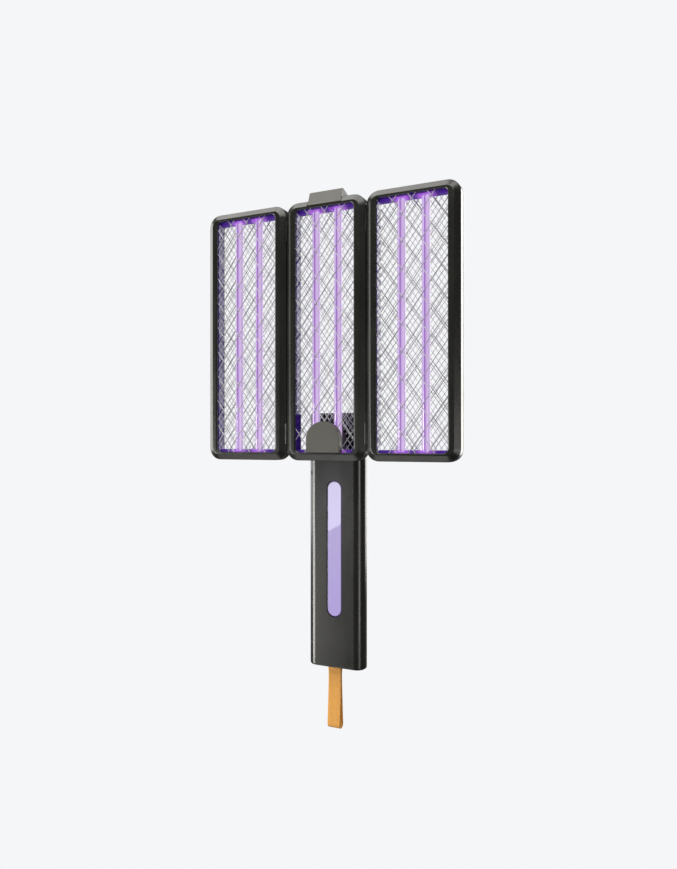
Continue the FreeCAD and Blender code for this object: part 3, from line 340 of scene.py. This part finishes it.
FRAME_PLASTIC = moulded_plastic("frame_black", (0.006, 0.0062, 0.0050), (0.009, 0.0092, 0.0076), 0.27)
GRIP_PLASTIC = moulded_plastic("handle_black", (0.008, 0.008, 0.0068), (0.012, 0.012, 0.0102), 0.24)
COVER_PLASTIC = moulded_plastic("cover_black", (0.056, 0.055, 0.047), (0.070, 0.068, 0.058), 0.42)
MATERIALS = {
    "frame_black": FRAME_PLASTIC,
    "handle_black": GRIP_PLASTIC,
    "cover_black": COVER_PLASTIC,
    "button_black": moulded_plastic("button_black", (0.03, 0.03, 0.03), (0.045, 0.044, 0.042), 0.5),
    "washer_plastic": moulded_plastic("washer_plastic", (0.04, 0.04, 0.04), (0.06, 0.06, 0.06), 0.3),
    "gasket_rubber": moulded_plastic("gasket_rubber", (0.015, 0.015, 0.016), (0.03, 0.03, 0.03), 0.7),
    "battery_wrap": moulded_plastic("battery_wrap", (0.05, 0.12, 0.30), (0.07, 0.16, 0.38), 0.25),
    "carrier_gloss": glossy_wall_with_painted_glow(),
    "guard_wire": drawn_metal("guard_wire", (0.47, 0.47, 0.50), 0.40, metallic=0.55),
    "grid_wire": drawn_metal("grid_wire", (0.72, 0.72, 0.76), 0.38, metallic=0.55),
    "screw_steel": drawn_metal("screw_steel", (0.09, 0.09, 0.092), 0.36),
    "pin_steel": drawn_metal("pin_steel", (0.55, 0.55, 0.57), 0.22, (1, 1, 0.1)),
    "winding_copper": drawn_metal("winding_copper", (0.62, 0.27, 0.12), 0.35, (1, 1, 8)),
    "board_green": lacquered_board(),
    "window_violet": window_material(),
    "strap_orange": webbing_material(),
}


# ---------------------------------------------------------------- mesh helpers

def new_piece(name, mesh, body, slot, material, *replaced):
    piece = bpy.data.objects.new(name, mesh)
    bpy.context.scene.collection.objects.link(piece)
    mesh.materials.clear()
    mesh.materials.append(material)
    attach(piece, body)
    if replaced:
        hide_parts(*replaced)
    return piece


def smooth_by_angle(bm, degrees=32):
    limit = math.radians(degrees)
    for face in bm.faces:
        face.smooth = True
    for edge in bm.edges:
        edge.smooth = len(edge.link_faces) == 2 and edge.calc_face_angle(0) < limit


def even_normals(piece):
    """Let the flat faces keep flat shading beside their rounded edges."""
    modifier = piece.modifiers.new("normals", "WEIGHTED_NORMAL")
    modifier.keep_sharp = True
    modifier.weight = 100
    return piece


def softened(node, width, segments=3, material=None):
    """A cleaned copy of a CAD node with its outer edges rounded, which stands for the node."""
    bm = bmesh.new()
    bm.from_mesh(frame["nodes"][node].data)
    bmesh.ops.remove_doubles(bm, verts=bm.verts, dist=2e-6)
    bmesh.ops.dissolve_limit(bm, angle_limit=math.radians(0.6), verts=bm.verts, edges=bm.edges)
    sharp = [e for e in bm.edges if len(e.link_faces) == 2 and e.is_convex
             and e.calc_face_angle(0) > math.radians(26)]
    bmesh.ops.bevel(bm, geom=sharp, offset=width, segments=segments, profile=0.5,
                    affect="EDGES", clamp_overlap=True)
    smooth_by_angle(bm)
    mesh = bpy.data.meshes.new(f"{node}_shell")
    bm.to_mesh(mesh)
    bm.free()
    slot = SLOT_OF[node]
    finish = material or MATERIALS[slot]
    return even_normals(new_piece(f"{node}_shell", mesh, BODY_OF[node], slot, finish, node))


def round_rectangle(half, low, high, radius, arc_steps=10):
    """Points round a rounded rectangle in the X-Z plane, as (x, z) pairs."""
    points = []
    radius = max(radius, 1e-5)
    centres = ((half - radius, low + radius, -90), (half - radius, high - radius, 0),
               (-half + radius, high - radius, 90), (-half + radius, low + radius, 180))
    for x, z, start in centres:
        for step in range(arc_steps + 1):
            angle = math.radians(start + 90 * step / arc_steps)
            points.append((x + radius * math.cos(angle), z + radius * math.sin(angle)))
    return points


def swept_ring(centre_x, outside, profile):
    """A closed frame as rings of points: profile holds (inset at the sides, inset at the
    rails, corner radius, depth) in metres, once round the frame's section."""
    half, low, high = outside
    bm = bmesh.new()
    rings = []
    for inset_x, inset_z, radius, y in profile:
        outline = round_rectangle(half - inset_x, low + inset_z, high - inset_z, radius)
        rings.append([bm.verts.new((centre_x + x, y, z)) for x, z in outline])
    pairs = list(zip(rings, rings[1:]))
    pairs.append((rings[-1], rings[0]))
    for first, second in pairs:
        count = len(first)
        for i in range(count):
            j = (i + 1) % count
            bm.faces.new((first[i], first[j], second[j], second[i]))
    bmesh.ops.recalc_face_normals(bm, faces=bm.faces)
    return bm


def rounded_polyline(points, radius, steps=4):
    """Replace the inner corners of a run of 2-D points by arcs of about this radius."""
    result = [points[0]]
    for before, corner, after in zip(points, points[1:], points[2:]):
        b, c, a = Vector(before), Vector(corner), Vector(after)
        reach = min(radius, 0.45 * (b - c).length, 0.45 * (a - c).length)
        start = c + (b - c).normalized() * reach
        end = c + (a - c).normalized() * reach
        for step in range(steps + 1):
            t = step / steps
            result.append(tuple((1 - t) ** 2 * start + 2 * t * (1 - t) * c + t ** 2 * end))
    result.append(points[-1])
    return result


# Sizes of the panel section, as the CAD has them.
UPRIGHT, RAIL = 9.8 * MM, 6.9 * MM
BEVEL_WIDE, BEVEL_DEEP = 5.0 * MM, 3.1 * MM
CORNER, OPENING_CORNER = 11.0 * MM, 4.0 * MM
LIP_DEEP = 1.2 * MM
LIP_BEVEL_WIDE, LIP_BEVEL_DEEP = 1.1 * MM, 0.5 * MM
FRONT_DEPTH, PANEL_DEPTH = 10.4 * MM, 15.6 * MM
SEAM = 0.25 * MM
EDGE_ROUND = 0.45 * MM
SCREW_STEP, SCREW_INSET, SCREW_SINK = 70 * MM, 3.1 * MM, 1.65 * MM
CATCH_PLAY, CATCH_NOTCH = 0.5 * MM, 5.2 * MM
KNUCKLE, KNUCKLE_GAP = 6 * MM, 0.2 * MM
KNUCKLE_RADIUS, KNUCKLE_ROOM = 1.5 * MM, 1.8 * MM
KNUCKLES = 3


def section_ring(panel, node, points, name, cutters, extras):
    """A panel ring from a section given as (inset, depth); insets past the bevel are
    shared out so that they end at the opening on uprights and rails alike."""
    low, high = corners(node)
    if node.endswith("front_frame"):
        low, high = corners(f"{panel}_rear_frame")
    centre_x = (low.x + high.x) / 2
    outside = ((high.x - low.x) / 2, low.z, high.z)
    profile = []
    for inset, depth in points:
        share = max(0.0, (inset - BEVEL_WIDE) / (UPRIGHT - BEVEL_WIDE))
        inset_z = min(inset, BEVEL_WIDE) + share * (RAIL - BEVEL_WIDE)
        if inset <= BEVEL_WIDE:
            radius = CORNER - inset
        else:
            radius = (CORNER - BEVEL_WIDE) + share * (OPENING_CORNER - CORNER + BEVEL_WIDE)
        profile.append((inset, inset_z, radius, LIP_Y + depth))
    bm = swept_ring(centre_x, outside, profile)
    carve(bm, cutters)
    for extra in extras:
        join(bm, extra)
    smooth_by_angle(bm, 40)
    mesh = bpy.data.meshes.new(name)
    bm.to_mesh(mesh)
    bm.free()
    return even_normals(new_piece(name, mesh, BODY_OF[node], "frame_black", FRAME_PLASTIC, node))


def join(bm, other):
    """Add another mesh's faces to this one and free it."""
    mesh = bpy.data.meshes.new("joined")
    other.to_mesh(mesh)
    other.free()
    bm.from_mesh(mesh)
    bpy.data.meshes.remove(mesh)


def block(low, high):
    box = bmesh.new()
    bmesh.ops.create_cube(box, size=1.0)
    for vert in box.verts:
        vert.co = Vector([l + (c + 0.5) * (h - l) for l, c, h in zip(low, vert.co, high)])
    return box


def rod(start, end, radius, sides=24):
    """A closed round bar from one point to another."""
    bm = bmesh.new()
    run = end - start
    turn = Vector((0, 0, 1)).rotation_difference(run.normalized()).to_matrix()
    rings = []
    for point in (start, end):
        ring = []
        for i in range(sides):
            angle = 2 * math.pi * i / sides
            offset = turn @ Vector((radius * math.cos(angle), radius * math.sin(angle), 0))
            ring.append(bm.verts.new(point + offset))
        rings.append(ring)
    for i in range(sides):
        j = (i + 1) % sides
        bm.faces.new((rings[0][i], rings[0][j], rings[1][j], rings[1][i]))
    bm.faces.new(list(reversed(rings[0])))
    bm.faces.new(rings[1])
    bmesh.ops.recalc_face_normals(bm, faces=bm.faces)
    return bm


def carve(bm, cutters):
    """Cut closed meshes, which don't touch one another, out of a mesh."""
    if not cutters:
        return
    tools = bmesh.new()
    for cutter in cutters:
        join(tools, cutter)
    pair = []
    for name, source in (("carved", bm), ("cutter", tools)):
        mesh = bpy.data.meshes.new(name)
        source.to_mesh(mesh)
        obj = bpy.data.objects.new(name, mesh)
        bpy.context.scene.collection.objects.link(obj)
        pair.append(obj)
    tools.free()
    modifier = pair[0].modifiers.new("cut", "BOOLEAN")
    modifier.operation = "DIFFERENCE"
    modifier.solver = "EXACT"
    modifier.object = pair[1]
    graph = bpy.context.evaluated_depsgraph_get()
    result = bpy.data.meshes.new_from_object(pair[0].evaluated_get(graph))
    bm.clear()
    bm.from_mesh(result)
    for obj in pair:
        bpy.data.objects.remove(obj)


# ---------------------------------------------------------------- panels

def screw_places(low, high):
    """Where a panel's six frame screws are, as (x, z)."""
    middle = (low.z + high.z) / 2
    return [(x, middle + step * SCREW_STEP) for x in (low.x + SCREW_INSET, high.x - SCREW_INSET)
            for step in (-1, 0, 1)]


def hinge_tools(panel):
    """Room for the other panel's knuckles, and this panel's own barrels."""
    own = (0, 2) if panel == "centre" else (1,)
    sides = {"centre": ("left", "right"), "left": ("left",), "right": ("right",)}[panel]
    cutters, barrels = [], []
    gap = Vector((0, 0, KNUCKLE_GAP))
    for side in sides:
        low, high = corners(f"{side}_hinge_pins")
        axis = (low + high) / 2
        for start in (low.z, high.z - KNUCKLES * KNUCKLE):
            for index in range(KNUCKLES):
                ends = [Vector((axis.x, axis.y, start + (index + k) * KNUCKLE)) for k in (0, 1)]
                if index in own:
                    barrels.append(rod(*ends, KNUCKLE_RADIUS))
                else:
                    cutters.append(rod(ends[0] - gap, ends[1] + gap, KNUCKLE_ROOM))
    return cutters, barrels


def front_frame(panel):
    """The bevelled frame about an opening; the centre one has the catch's notch in its top."""
    node = f"{panel}_front_frame"
    skin = [(SEAM, FRONT_DEPTH), (SEAM, FRONT_DEPTH - 0.12 * MM), (0.0, FRONT_DEPTH - 0.45 * MM),
            (0.0, BEVEL_DEEP), (BEVEL_WIDE, 0.0), (UPRIGHT - LIP_BEVEL_WIDE, 0.0),
            (UPRIGHT, LIP_BEVEL_DEEP), (UPRIGHT, LIP_DEEP),
            (UPRIGHT - 1.6 * MM, LIP_DEEP + 0.1 * MM), (UPRIGHT - 1.8 * MM, FRONT_DEPTH)]
    section = rounded_polyline(skin, EDGE_ROUND)
    cutters, barrels = hinge_tools(panel)
    if panel == "centre":
        low, high = corners("top_catch")
        top = corners("centre_rear_frame")[1].z
        cutters.append(block((low.x - CATCH_PLAY, LIP_Y - MM, top - CATCH_NOTCH),
                             (high.x + CATCH_PLAY, LIP_Y + FRONT_DEPTH + MM, top + MM)))
    section_ring(panel, node, section, f"{panel}_front_bezel", cutters, barrels)


def rear_frame(panel):
    """The back cover of a panel, with its screw holes."""
    node = f"{panel}_rear_frame"
    inner = UPRIGHT - 2.3 * MM
    skin = [(inner - 1.2 * MM, FRONT_DEPTH + 0.05 * MM), (SEAM, FRONT_DEPTH + 0.05 * MM),
            (SEAM, FRONT_DEPTH + 0.15 * MM), (0.0, FRONT_DEPTH + 0.45 * MM),
            (0.0, PANEL_DEPTH - BEVEL_DEEP), (BEVEL_WIDE, PANEL_DEPTH), (inner, PANEL_DEPTH),
            (inner, PANEL_DEPTH - LIP_DEEP), (inner - 1.2 * MM, PANEL_DEPTH - LIP_DEEP - 0.1 * MM)]
    section = rounded_polyline(skin, EDGE_ROUND)
    low, high = corners(node)
    seat, past = LIP_Y + 12.6 * MM, LIP_Y + 17 * MM
    holes = [rod(Vector((x, seat, z)), Vector((x, past, z)), SCREW_SINK)
             for x, z in screw_places(low, high)]
    section_ring(panel, node, section, f"{panel}_rear_cover", holes, [])


def carrier(panel):
    """The polished inner ring, its inner wall flush with the lip's edge."""
    node = f"{panel}_lamp_carrier"
    low, high = corners(node)
    frame_low, frame_high = corners(f"{panel}_rear_frame")
    half = (frame_high.x - frame_low.x) / 2 - UPRIGHT
    centre_x = (low.x + high.x) / 2
    wall = 1.1 * MM
    outside = (half + wall, frame_low.z + RAIL - 0.75 * MM, frame_high.z - RAIL + 0.75 * MM)
    front, back = low.y + 0.05 * MM, high.y - 0.05 * MM
    edge = 0.25 * MM
    profile = [(0, 0, 4.8 * MM, back), (0, 0, 4.8 * MM, front),
               (wall - edge, 0.75 * MM - edge, 4.2 * MM, front),
               (wall, 0.72 * MM, OPENING_CORNER, front + edge),
               (wall, 0.72 * MM, OPENING_CORNER, back - edge),
               (wall - edge, 0.75 * MM - edge, 4.2 * MM, back)]
    bm = swept_ring(centre_x, outside, profile)
    smooth_by_angle(bm, 30)
    mesh = bpy.data.meshes.new(node)
    bm.to_mesh(mesh)
    bm.free()
    new_piece(f"{panel}_inner_wall", mesh, BODY_OF[node], "carrier_gloss",
              MATERIALS["carrier_gloss"], node)


def lamp_tube(panel, word):
    """A lit glass tube with domed ends."""
    node = f"{panel}_uv_tube_{word}"
    low, high = corners(node)
    radius = (high.x - low.x) / 2
    centre = (low + high) / 2
    bm = bmesh.new()
    rings = []
    steps, dome = 28, 6
    heights = [(low.z + radius * (1 - math.cos(math.pi / 2 * k / dome)),
                radius * math.sin(math.pi / 2 * k / dome)) for k in range(1, dome + 1)]
    heights += [(low.z + high.z - z, r) for z, r in reversed(heights)]
    for z, r in heights:
        rings.append([bm.verts.new((centre.x + r * math.cos(2 * math.pi * i / steps),
                                    centre.y + r * math.sin(2 * math.pi * i / steps), z))
                      for i in range(steps)])
    for first, second in zip(rings, rings[1:]):
        for i in range(steps):
            j = (i + 1) % steps
            bm.faces.new((first[i], first[j], second[j], second[i]))
    bm.faces.new(list(reversed(rings[0])))
    bm.faces.new(rings[-1])
    smooth_by_angle(bm, 60)
    mesh = bpy.data.meshes.new(node)
    bm.to_mesh(mesh)
    bm.free()
    glow = lamp_glow(f"{node}_glow", centre.x, radius)
    new_piece(f"{node}_lit", mesh, BODY_OF[node], "uv_glass", glow, node)


for panel_name in PANELS:
    front_frame(panel_name)
    rear_frame(panel_name)
    carrier(panel_name)
    lamp_tube(panel_name, "a")
    lamp_tube(panel_name, "b")
    places = [sum(corners(f"{panel_name}_uv_tube_{word}"), Vector()).x / 2 for word in "ab"]
    softened(f"{panel_name}_lamp_holders", 0.35 * MM,
             material=socket_glow(f"{panel_name}_socket_glow", places))


# ---------------------------------------------------------------- other hard pieces

softened("pivot_cover", 0.3 * MM)
softened("top_catch", 0.35 * MM)
softened("power_button", 0.3 * MM)
softened("mode_switch_knob", 0.15 * MM)


def finish_cad_nodes():
    """Give every CAD node the finish of its material slot."""
    for node, obj in frame["nodes"].items():
        obj.data.materials.clear()
        obj.data.materials.append(MATERIALS.get(SLOT_OF[node], FRAME_PLASTIC))


finish_cad_nodes()


# Sizes of the grip and of what opens through it, which follow the CAD's.
GRIP_CORNER, GRIP_WALL, GRIP_END = 8.3 * MM, 2 * MM, 1.5 * MM
HOLLOW_FOOT = -100 * MM
POSTS = [(x * MM, z * MM) for x in (-20, 20) for z in (-90, 58)]
POST_RADIUS, POST_SINK = 2.6 * MM, 2.0 * MM
SHAFT_HOLE, DETENT_HOLE, DETENT_DROP = 4.1 * MM, 1.55 * MM, 10 * MM
BUTTON_HOLE, BUTTON_Z = 7.2 * MM, 40 * MM
SLIDE_SLOT = (-3.2 * MM, 3.2 * MM, 3.8 * MM, 16.2 * MM)
PORT = (12.4 * MM, 21.8 * MM, 1.1 * MM, 4.7 * MM)
STRAP_POCKET = (-10.4 * MM, 4.4 * MM, 6.3 * MM)


def half_section(inset, sign, past=0.0):
    """Half of the grip's section as (x, y) points, split on its mid-plane."""
    half, deep, radius = GRIP_HIGH.x - inset, -GRIP_LOW.y - inset, GRIP_CORNER - inset
    points = [(half, -sign * past), (half, (deep - radius) * sign)]
    for step in range(1, 16):
        angle = math.radians(6 * step)
        points.append((half - radius + radius * math.cos(angle),
                       sign * (deep - radius + radius * math.sin(angle))))
    points += [(-x, y) for x, y in reversed(points)]
    return points


def loft(stations):
    """A closed body through rings of (x, y) points, each with its height."""
    bm = bmesh.new()
    rings = [[bm.verts.new((x, y, z)) for x, y in points] for points, z in stations]
    for first, second in zip(rings, rings[1:]):
        for i in range(len(first)):
            j = (i + 1) % len(first)
            bm.faces.new((first[i], first[j], second[j], second[i]))
    bm.faces.new(rings[-1])
    bm.faces.new(list(reversed(rings[0])))
    bmesh.ops.recalc_face_normals(bm, faces=bm.faces)
    return bm


def slot_cutter(half, low, high, front, back):
    """A long bar with round ends, to cut a window."""
    bm = bmesh.new()
    rings = [[bm.verts.new((x, y, z)) for x, z in
              round_rectangle(half, low, high, half - 1e-5, 16)] for y in (front, back)]
    for i in range(len(rings[0])):
        j = (i + 1) % len(rings[0])
        bm.faces.new((rings[0][i], rings[0][j], rings[1][j], rings[1][i]))
    bm.faces.new(rings[1])
    bm.faces.new(list(reversed(rings[0])))
    bmesh.ops.recalc_face_normals(bm, faces=bm.faces)
    return bm


def grip_shell(node, sign):
    """One half of the grip, hollow above the strap's pocket, with its openings."""
    low, high = corners(node)
    skin = []
    for side, tip in ((-1, low.z), (1, high.z)):
        steps = range(5, -1, -1) if side < 0 else range(6)
        for step in steps:
            angle = math.radians(18 * step)
            skin.append((half_section(GRIP_END * (1 - math.cos(angle)), sign),
                         tip - side * GRIP_END * (1 - math.sin(angle))))
    body = loft(skin)
    face = sign * high.y if sign > 0 else low.y
    out, wall = face + sign * MM, face - sign * 2.2 * MM
    inside = half_section(GRIP_WALL, sign, MM)
    carve(body, [loft([(inside, HOLLOW_FOOT), (inside, high.z - GRIP_WALL)])])
    left, right, deep = STRAP_POCKET
    pocket = sorted((-sign * MM, sign * deep))
    cutters = [block((left, pocket[0], low.z - MM), (right, pocket[1], low.z + 7 * MM))]
    if sign < 0:
        lens_low, lens_high = corners("window_lens")
        cutters.append(slot_cutter(lens_high.x - WINDOW_FLANGE, lens_low.z + WINDOW_FLANGE,
                                   lens_high.z - WINDOW_FLANGE, out, wall))
        for z, radius in ((PIVOT_Z, SHAFT_HOLE), (PIVOT_Z - DETENT_DROP, DETENT_HOLE)):
            cutters.append(rod(Vector((0, out, z)), Vector((0, wall, z)), radius))
    else:
        cutters.append(rod(Vector((0, out, BUTTON_Z)), Vector((0, wall, BUTTON_Z)), BUTTON_HOLE, 48))
        left, right, bottom, top = SLIDE_SLOT
        cutters.append(block((left, wall, bottom), (right, out, top)))
        left, right, front, back = PORT
        cutters.append(block((left, front, low.z - MM), (right, back, low.z + 8 * MM)))
        cutters += [rod(Vector((x, face - 3 * MM, z)), Vector((x, out, z)), POST_SINK)
                    for x, z in POSTS]
    carve(body, cutters)
    if sign < 0:
        for x, z in POSTS:
            join(body, rod(Vector((x, 0, z)), Vector((x, low.y + MM, z)), POST_RADIUS))
    smooth_by_angle(body, 35)
    mesh = bpy.data.meshes.new(node)
    body.to_mesh(mesh)
    body.free()
    even_normals(new_piece(f"{node}_skin", mesh, "handle", "handle_black", GRIP_PLASTIC, node))


grip_shell("handle_front_shell", -1)
grip_shell("handle_rear_shell", 1)


def window_lens():
    """The clear window: a long plate with round ends, a thin dark gap about it."""
    low, high = corners("window_lens")
    inset = WINDOW_FLANGE + WINDOW_GAP
    half, bottom, top = high.x - inset, low.z + inset, high.z - inset
    front = low.y
    skin = [(0.0, front + 1.5 * MM)]
    round_edge = 0.55 * MM
    for step in range(7):
        angle = math.radians(15 * step)
        skin.append((round_edge * (1 - math.cos(angle)), front + round_edge * (1 - math.sin(angle))))
    bm = bmesh.new()
    rings = []
    for inset, y in skin:
        outline = round_rectangle(half - inset, bottom + inset, top - inset, half - inset - 1e-5, 16)
        rings.append([bm.verts.new((x, y, z)) for x, z in outline])
    for first, second in zip(rings, rings[1:]):
        for i in range(len(first)):
            j = (i + 1) % len(first)
            bm.faces.new((first[i], first[j], second[j], second[i]))
    bm.faces.new(rings[-1])
    bm.faces.new(list(reversed(rings[0])))
    join(bm, block((-half - WINDOW_FLANGE, front + 1.66 * MM, bottom),
                   (half + WINDOW_FLANGE, high.y, top)))
    bmesh.ops.recalc_face_normals(bm, faces=bm.faces)
    smooth_by_angle(bm, 50)
    mesh = bpy.data.meshes.new("window_lens")
    bm.to_mesh(mesh)
    bm.free()
    even_normals(new_piece("window_lens_clear", mesh, "handle", "window_violet",
                           MATERIALS["window_violet"], "window_lens"))


window_lens()

# ---------------------------------------------------------------- wrist strap

STRAP_HALF, STRAP_THICK = 6.1 * MM, 1.2 * MM
STRAP_BEND = 3.7 * MM - STRAP_THICK / 2
NECK_Y, NECK_DROP, CLEAR = 0.62 * MM, 11 * MM, 0.02 * MM


def strap_centreline():
    """Points (y, z) along the middle of the closed loop of webbing, and the loop's x."""
    low, high = corners("wrist_strap")
    pin_low, pin_high = corners("strap_pin")
    pin = pin_low.lerp(pin_high, 0.5)
    middle_x = (low.x + high.x) / 2
    around = (pin_high.z - pin_low.z) / 2 + STRAP_THICK / 2 + CLEAR
    bend = STRAP_BEND
    neck = NECK_Y + CLEAR
    points = []
    neck_z = pin.z - NECK_DROP
    for step in range(13):
        angle = math.radians(180 * step / 12)
        points.append((around * math.cos(angle), pin.z + around * math.sin(angle)))
    right_down = []
    bottom = low.z + bend + STRAP_THICK / 2
    for step in range(1, 9):
        t = step / 8
        ease = t * t * (3 - 2 * t)
        right_down.append((around + (neck - around) * ease, pin.z + (neck_z - pin.z) * t))
    for step in range(1, 13):
        t = step / 12
        ease = t ** 1.25
        right_down.append((neck + (bend - neck) * ease, neck_z + (bottom - neck_z) * t))
    loop = []
    for step in range(1, 12):
        angle = math.radians(-180 * step / 12)
        loop.append((bend * math.cos(angle), bottom + bend * math.sin(angle)))
    left_up = [(-y, z) for y, z in reversed(right_down)]
    return list(reversed(points)) + right_down + loop + left_up, middle_x


def wrist_strap():
    """The loop of webbing, its section swept along the centreline."""
    points, middle_x = strap_centreline()
    line = [Vector((middle_x, y, z)) for y, z in points]
    bm = bmesh.new()
    rings = []
    count = len(line)
    across = [(-1.0, 0.0), (-0.985, 0.36), (-0.94, 0.49), (-0.5, 0.5), (0.0, 0.5), (0.5, 0.5),
              (0.94, 0.49), (0.985, 0.36), (1.0, 0.0), (0.985, -0.36), (0.94, -0.49),
              (0.5, -0.5), (0.0, -0.5), (-0.5, -0.5), (-0.94, -0.49), (-0.985, -0.36)]
    for i, point in enumerate(line):
        tangent = (line[(i + 1) % count] - line[i - 1]).normalized()
        normal = Vector((0, -tangent.z, tangent.y))
        rings.append([bm.verts.new(point + Vector((STRAP_HALF * u, 0, 0))
                                   + normal * (v * STRAP_THICK)) for u, v in across])
    for i in range(count):
        first, second = rings[i], rings[(i + 1) % count]
        for k in range(len(across)):
            j = (k + 1) % len(across)
            bm.faces.new((first[k], first[j], second[j], second[k]))
    bmesh.ops.recalc_face_normals(bm, faces=bm.faces)
    smooth_by_angle(bm, 50)
    mesh = bpy.data.meshes.new("wrist_strap")
    bm.to_mesh(mesh)
    bm.free()
    strap = new_piece("wrist_strap_webbing", mesh, "strap", "strap_orange",
                      MATERIALS["strap_orange"], "wrist_strap")
    subdivision = strap.modifiers.new("smooth", "SUBSURF")
    subdivision.levels = 1
    subdivision.render_levels = 1


wrist_strap()


# ---------------------------------------------------------------- stage, lights, camera

PALE = (0.913, 0.922, 0.939)
LIGHT_TINT = (1.0, 0.985, 0.945)
FLOOR_DROP = 0.35


def pale_stage():
    """A plain pale floor, well below the object, that meets a backdrop of the same tone."""
    mesh = bpy.data.meshes.new("floor")
    bm = bmesh.new()
    bmesh.ops.create_grid(bm, x_segments=4, y_segments=4, size=30.0)
    for vert in bm.verts:
        vert.co.z = cad_box[0][2] - FLOOR_DROP
    bm.to_mesh(mesh)
    bm.free()
    floor = bpy.data.objects.new("floor", mesh)
    bpy.context.scene.collection.objects.link(floor)
    nodes = Nodes("pale_floor")
    nodes.set(Base_Color=(0, 0, 0, 1), Roughness=1.0, Emission_Color=(*PALE, 1),
              Emission_Strength=1.0, Specular_IOR_Level=0.0)
    mesh.materials.append(nodes.material)
    floor.visible_diffuse = False
    floor.visible_glossy = False
    world = bpy.data.worlds.new("pale_world")
    bpy.context.scene.world = world
    world.use_nodes = True
    tree = world.node_tree
    path = tree.nodes.new("ShaderNodeLightPath")
    seen = tree.nodes.new("ShaderNodeBackground")
    seen.inputs["Color"].default_value = (*PALE, 1)
    fill = tree.nodes["Background"]
    fill.inputs["Color"].default_value = (1.0, 0.98, 0.93, 1)
    fill.inputs["Strength"].default_value = 0.14
    mix = tree.nodes.new("ShaderNodeMixShader")
    tree.links.new(path.outputs["Is Camera Ray"], mix.inputs["Fac"])
    tree.links.new(fill.outputs["Background"], mix.inputs[1])
    tree.links.new(seen.outputs["Background"], mix.inputs[2])
    tree.links.new(mix.outputs["Shader"], tree.nodes["World Output"].inputs["Surface"])


def softbox(name, position, target, width, height, radiance):
    """An area light that faces a target; its power follows from its size and radiance."""
    data = bpy.data.lights.new(name, "AREA")
    data.shape = "RECTANGLE"
    data.size = width
    data.size_y = height
    data.energy = radiance * width * height * math.pi
    data.color = LIGHT_TINT
    light = bpy.data.objects.new(name, data)
    bpy.context.scene.collection.objects.link(light)
    light.location = position
    light.rotation_euler = (target - position).to_track_quat("-Z", "Y").to_euler()


def camera():
    """In front and to the right, at the swivel's height, looking level."""
    data = bpy.data.cameras.new("camera")
    view = bpy.data.objects.new("camera", data)
    bpy.context.scene.collection.objects.link(view)
    view.location = (0.256, LIP_Y - 0.526, PIVOT_Z)
    view.rotation_euler = (math.radians(90), 0, math.radians(24.73))
    data.lens = 29.0
    data.sensor_width = 36.0
    data.shift_y = 0.0063
    data.clip_start = 0.02
    data.clip_end = 100
    bpy.context.scene.camera = view


def aimed(azimuth, elevation, distance, target):
    """A point seen from the target at this azimuth, from -Y towards +X, and elevation."""
    turn, rise = math.radians(azimuth), math.radians(elevation)
    away = Vector((math.sin(turn) * math.cos(rise), -math.cos(turn) * math.cos(rise), math.sin(rise)))
    return target + away * distance


pale_stage()
head_middle = Vector((0, LIP_Y, PIVOT_Z + 0.09))
grip_middle = Vector((0, GRIP_LOW.y, 0))
for name, azimuth, elevation, distance, target, width, height, radiance in (
        ("front_top", 14, 54, 1.6, head_middle, 1.2, 1.2, 5.0),
        ("overhead", -68, 66, 1.3, head_middle, 0.9, 0.9, 3.8),
        ("left", -92, 8, 1.6, head_middle, 1.1, 1.3, 3.4),
        ("edge_strip", -55, -9, 1.5, grip_middle, 0.55, 0.7, 15.0),
        ("grip_front", -38, -16, 1.4, grip_middle, 0.5, 0.45, 3.2),
        ("right_strip", 55, -9, 1.5, grip_middle, 0.4, 0.7, 4.5),
        ("back_right", 160, 6, 1.6, head_middle, 0.9, 1.3, 4.9),
        ("below", -40, -58, 1.4, head_middle, 0.8, 0.8, 1.6)):
    softbox(name, aimed(azimuth, elevation, distance, target), target, width, height, radiance)


def window_card():
    """A bright card whose slanting lower edge shows as a reflection in the window."""
    plane_y, top_z = -1.0084, 0.02
    edge = (Vector((-0.488, plane_y, -0.1386)), Vector((-0.4473, plane_y, -0.1166)))
    run = (edge[1] - edge[0]).normalized()
    low_left, low_right = edge[0] - run * 0.03, edge[1] + run * 0.04
    mesh = bpy.data.meshes.new("window_card")
    mesh.from_pydata([low_left, low_right, (low_right.x, plane_y, top_z),
                      (low_left.x, plane_y, top_z)], [], [(0, 1, 2, 3)])
    card = bpy.data.objects.new("window_card", mesh)
    bpy.context.scene.collection.objects.link(card)
    nodes = Nodes("card_glow")
    nodes.set(Base_Color=(0, 0, 0, 1), Emission_Color=(0.95, 0.96, 1.0, 1), Emission_Strength=4.2)
    mesh.materials.append(nodes.material)
    card.visible_camera = False
    card.visible_diffuse = False


window_card()
camera()
bpy.context.scene.view_settings.view_transform = "Standard"
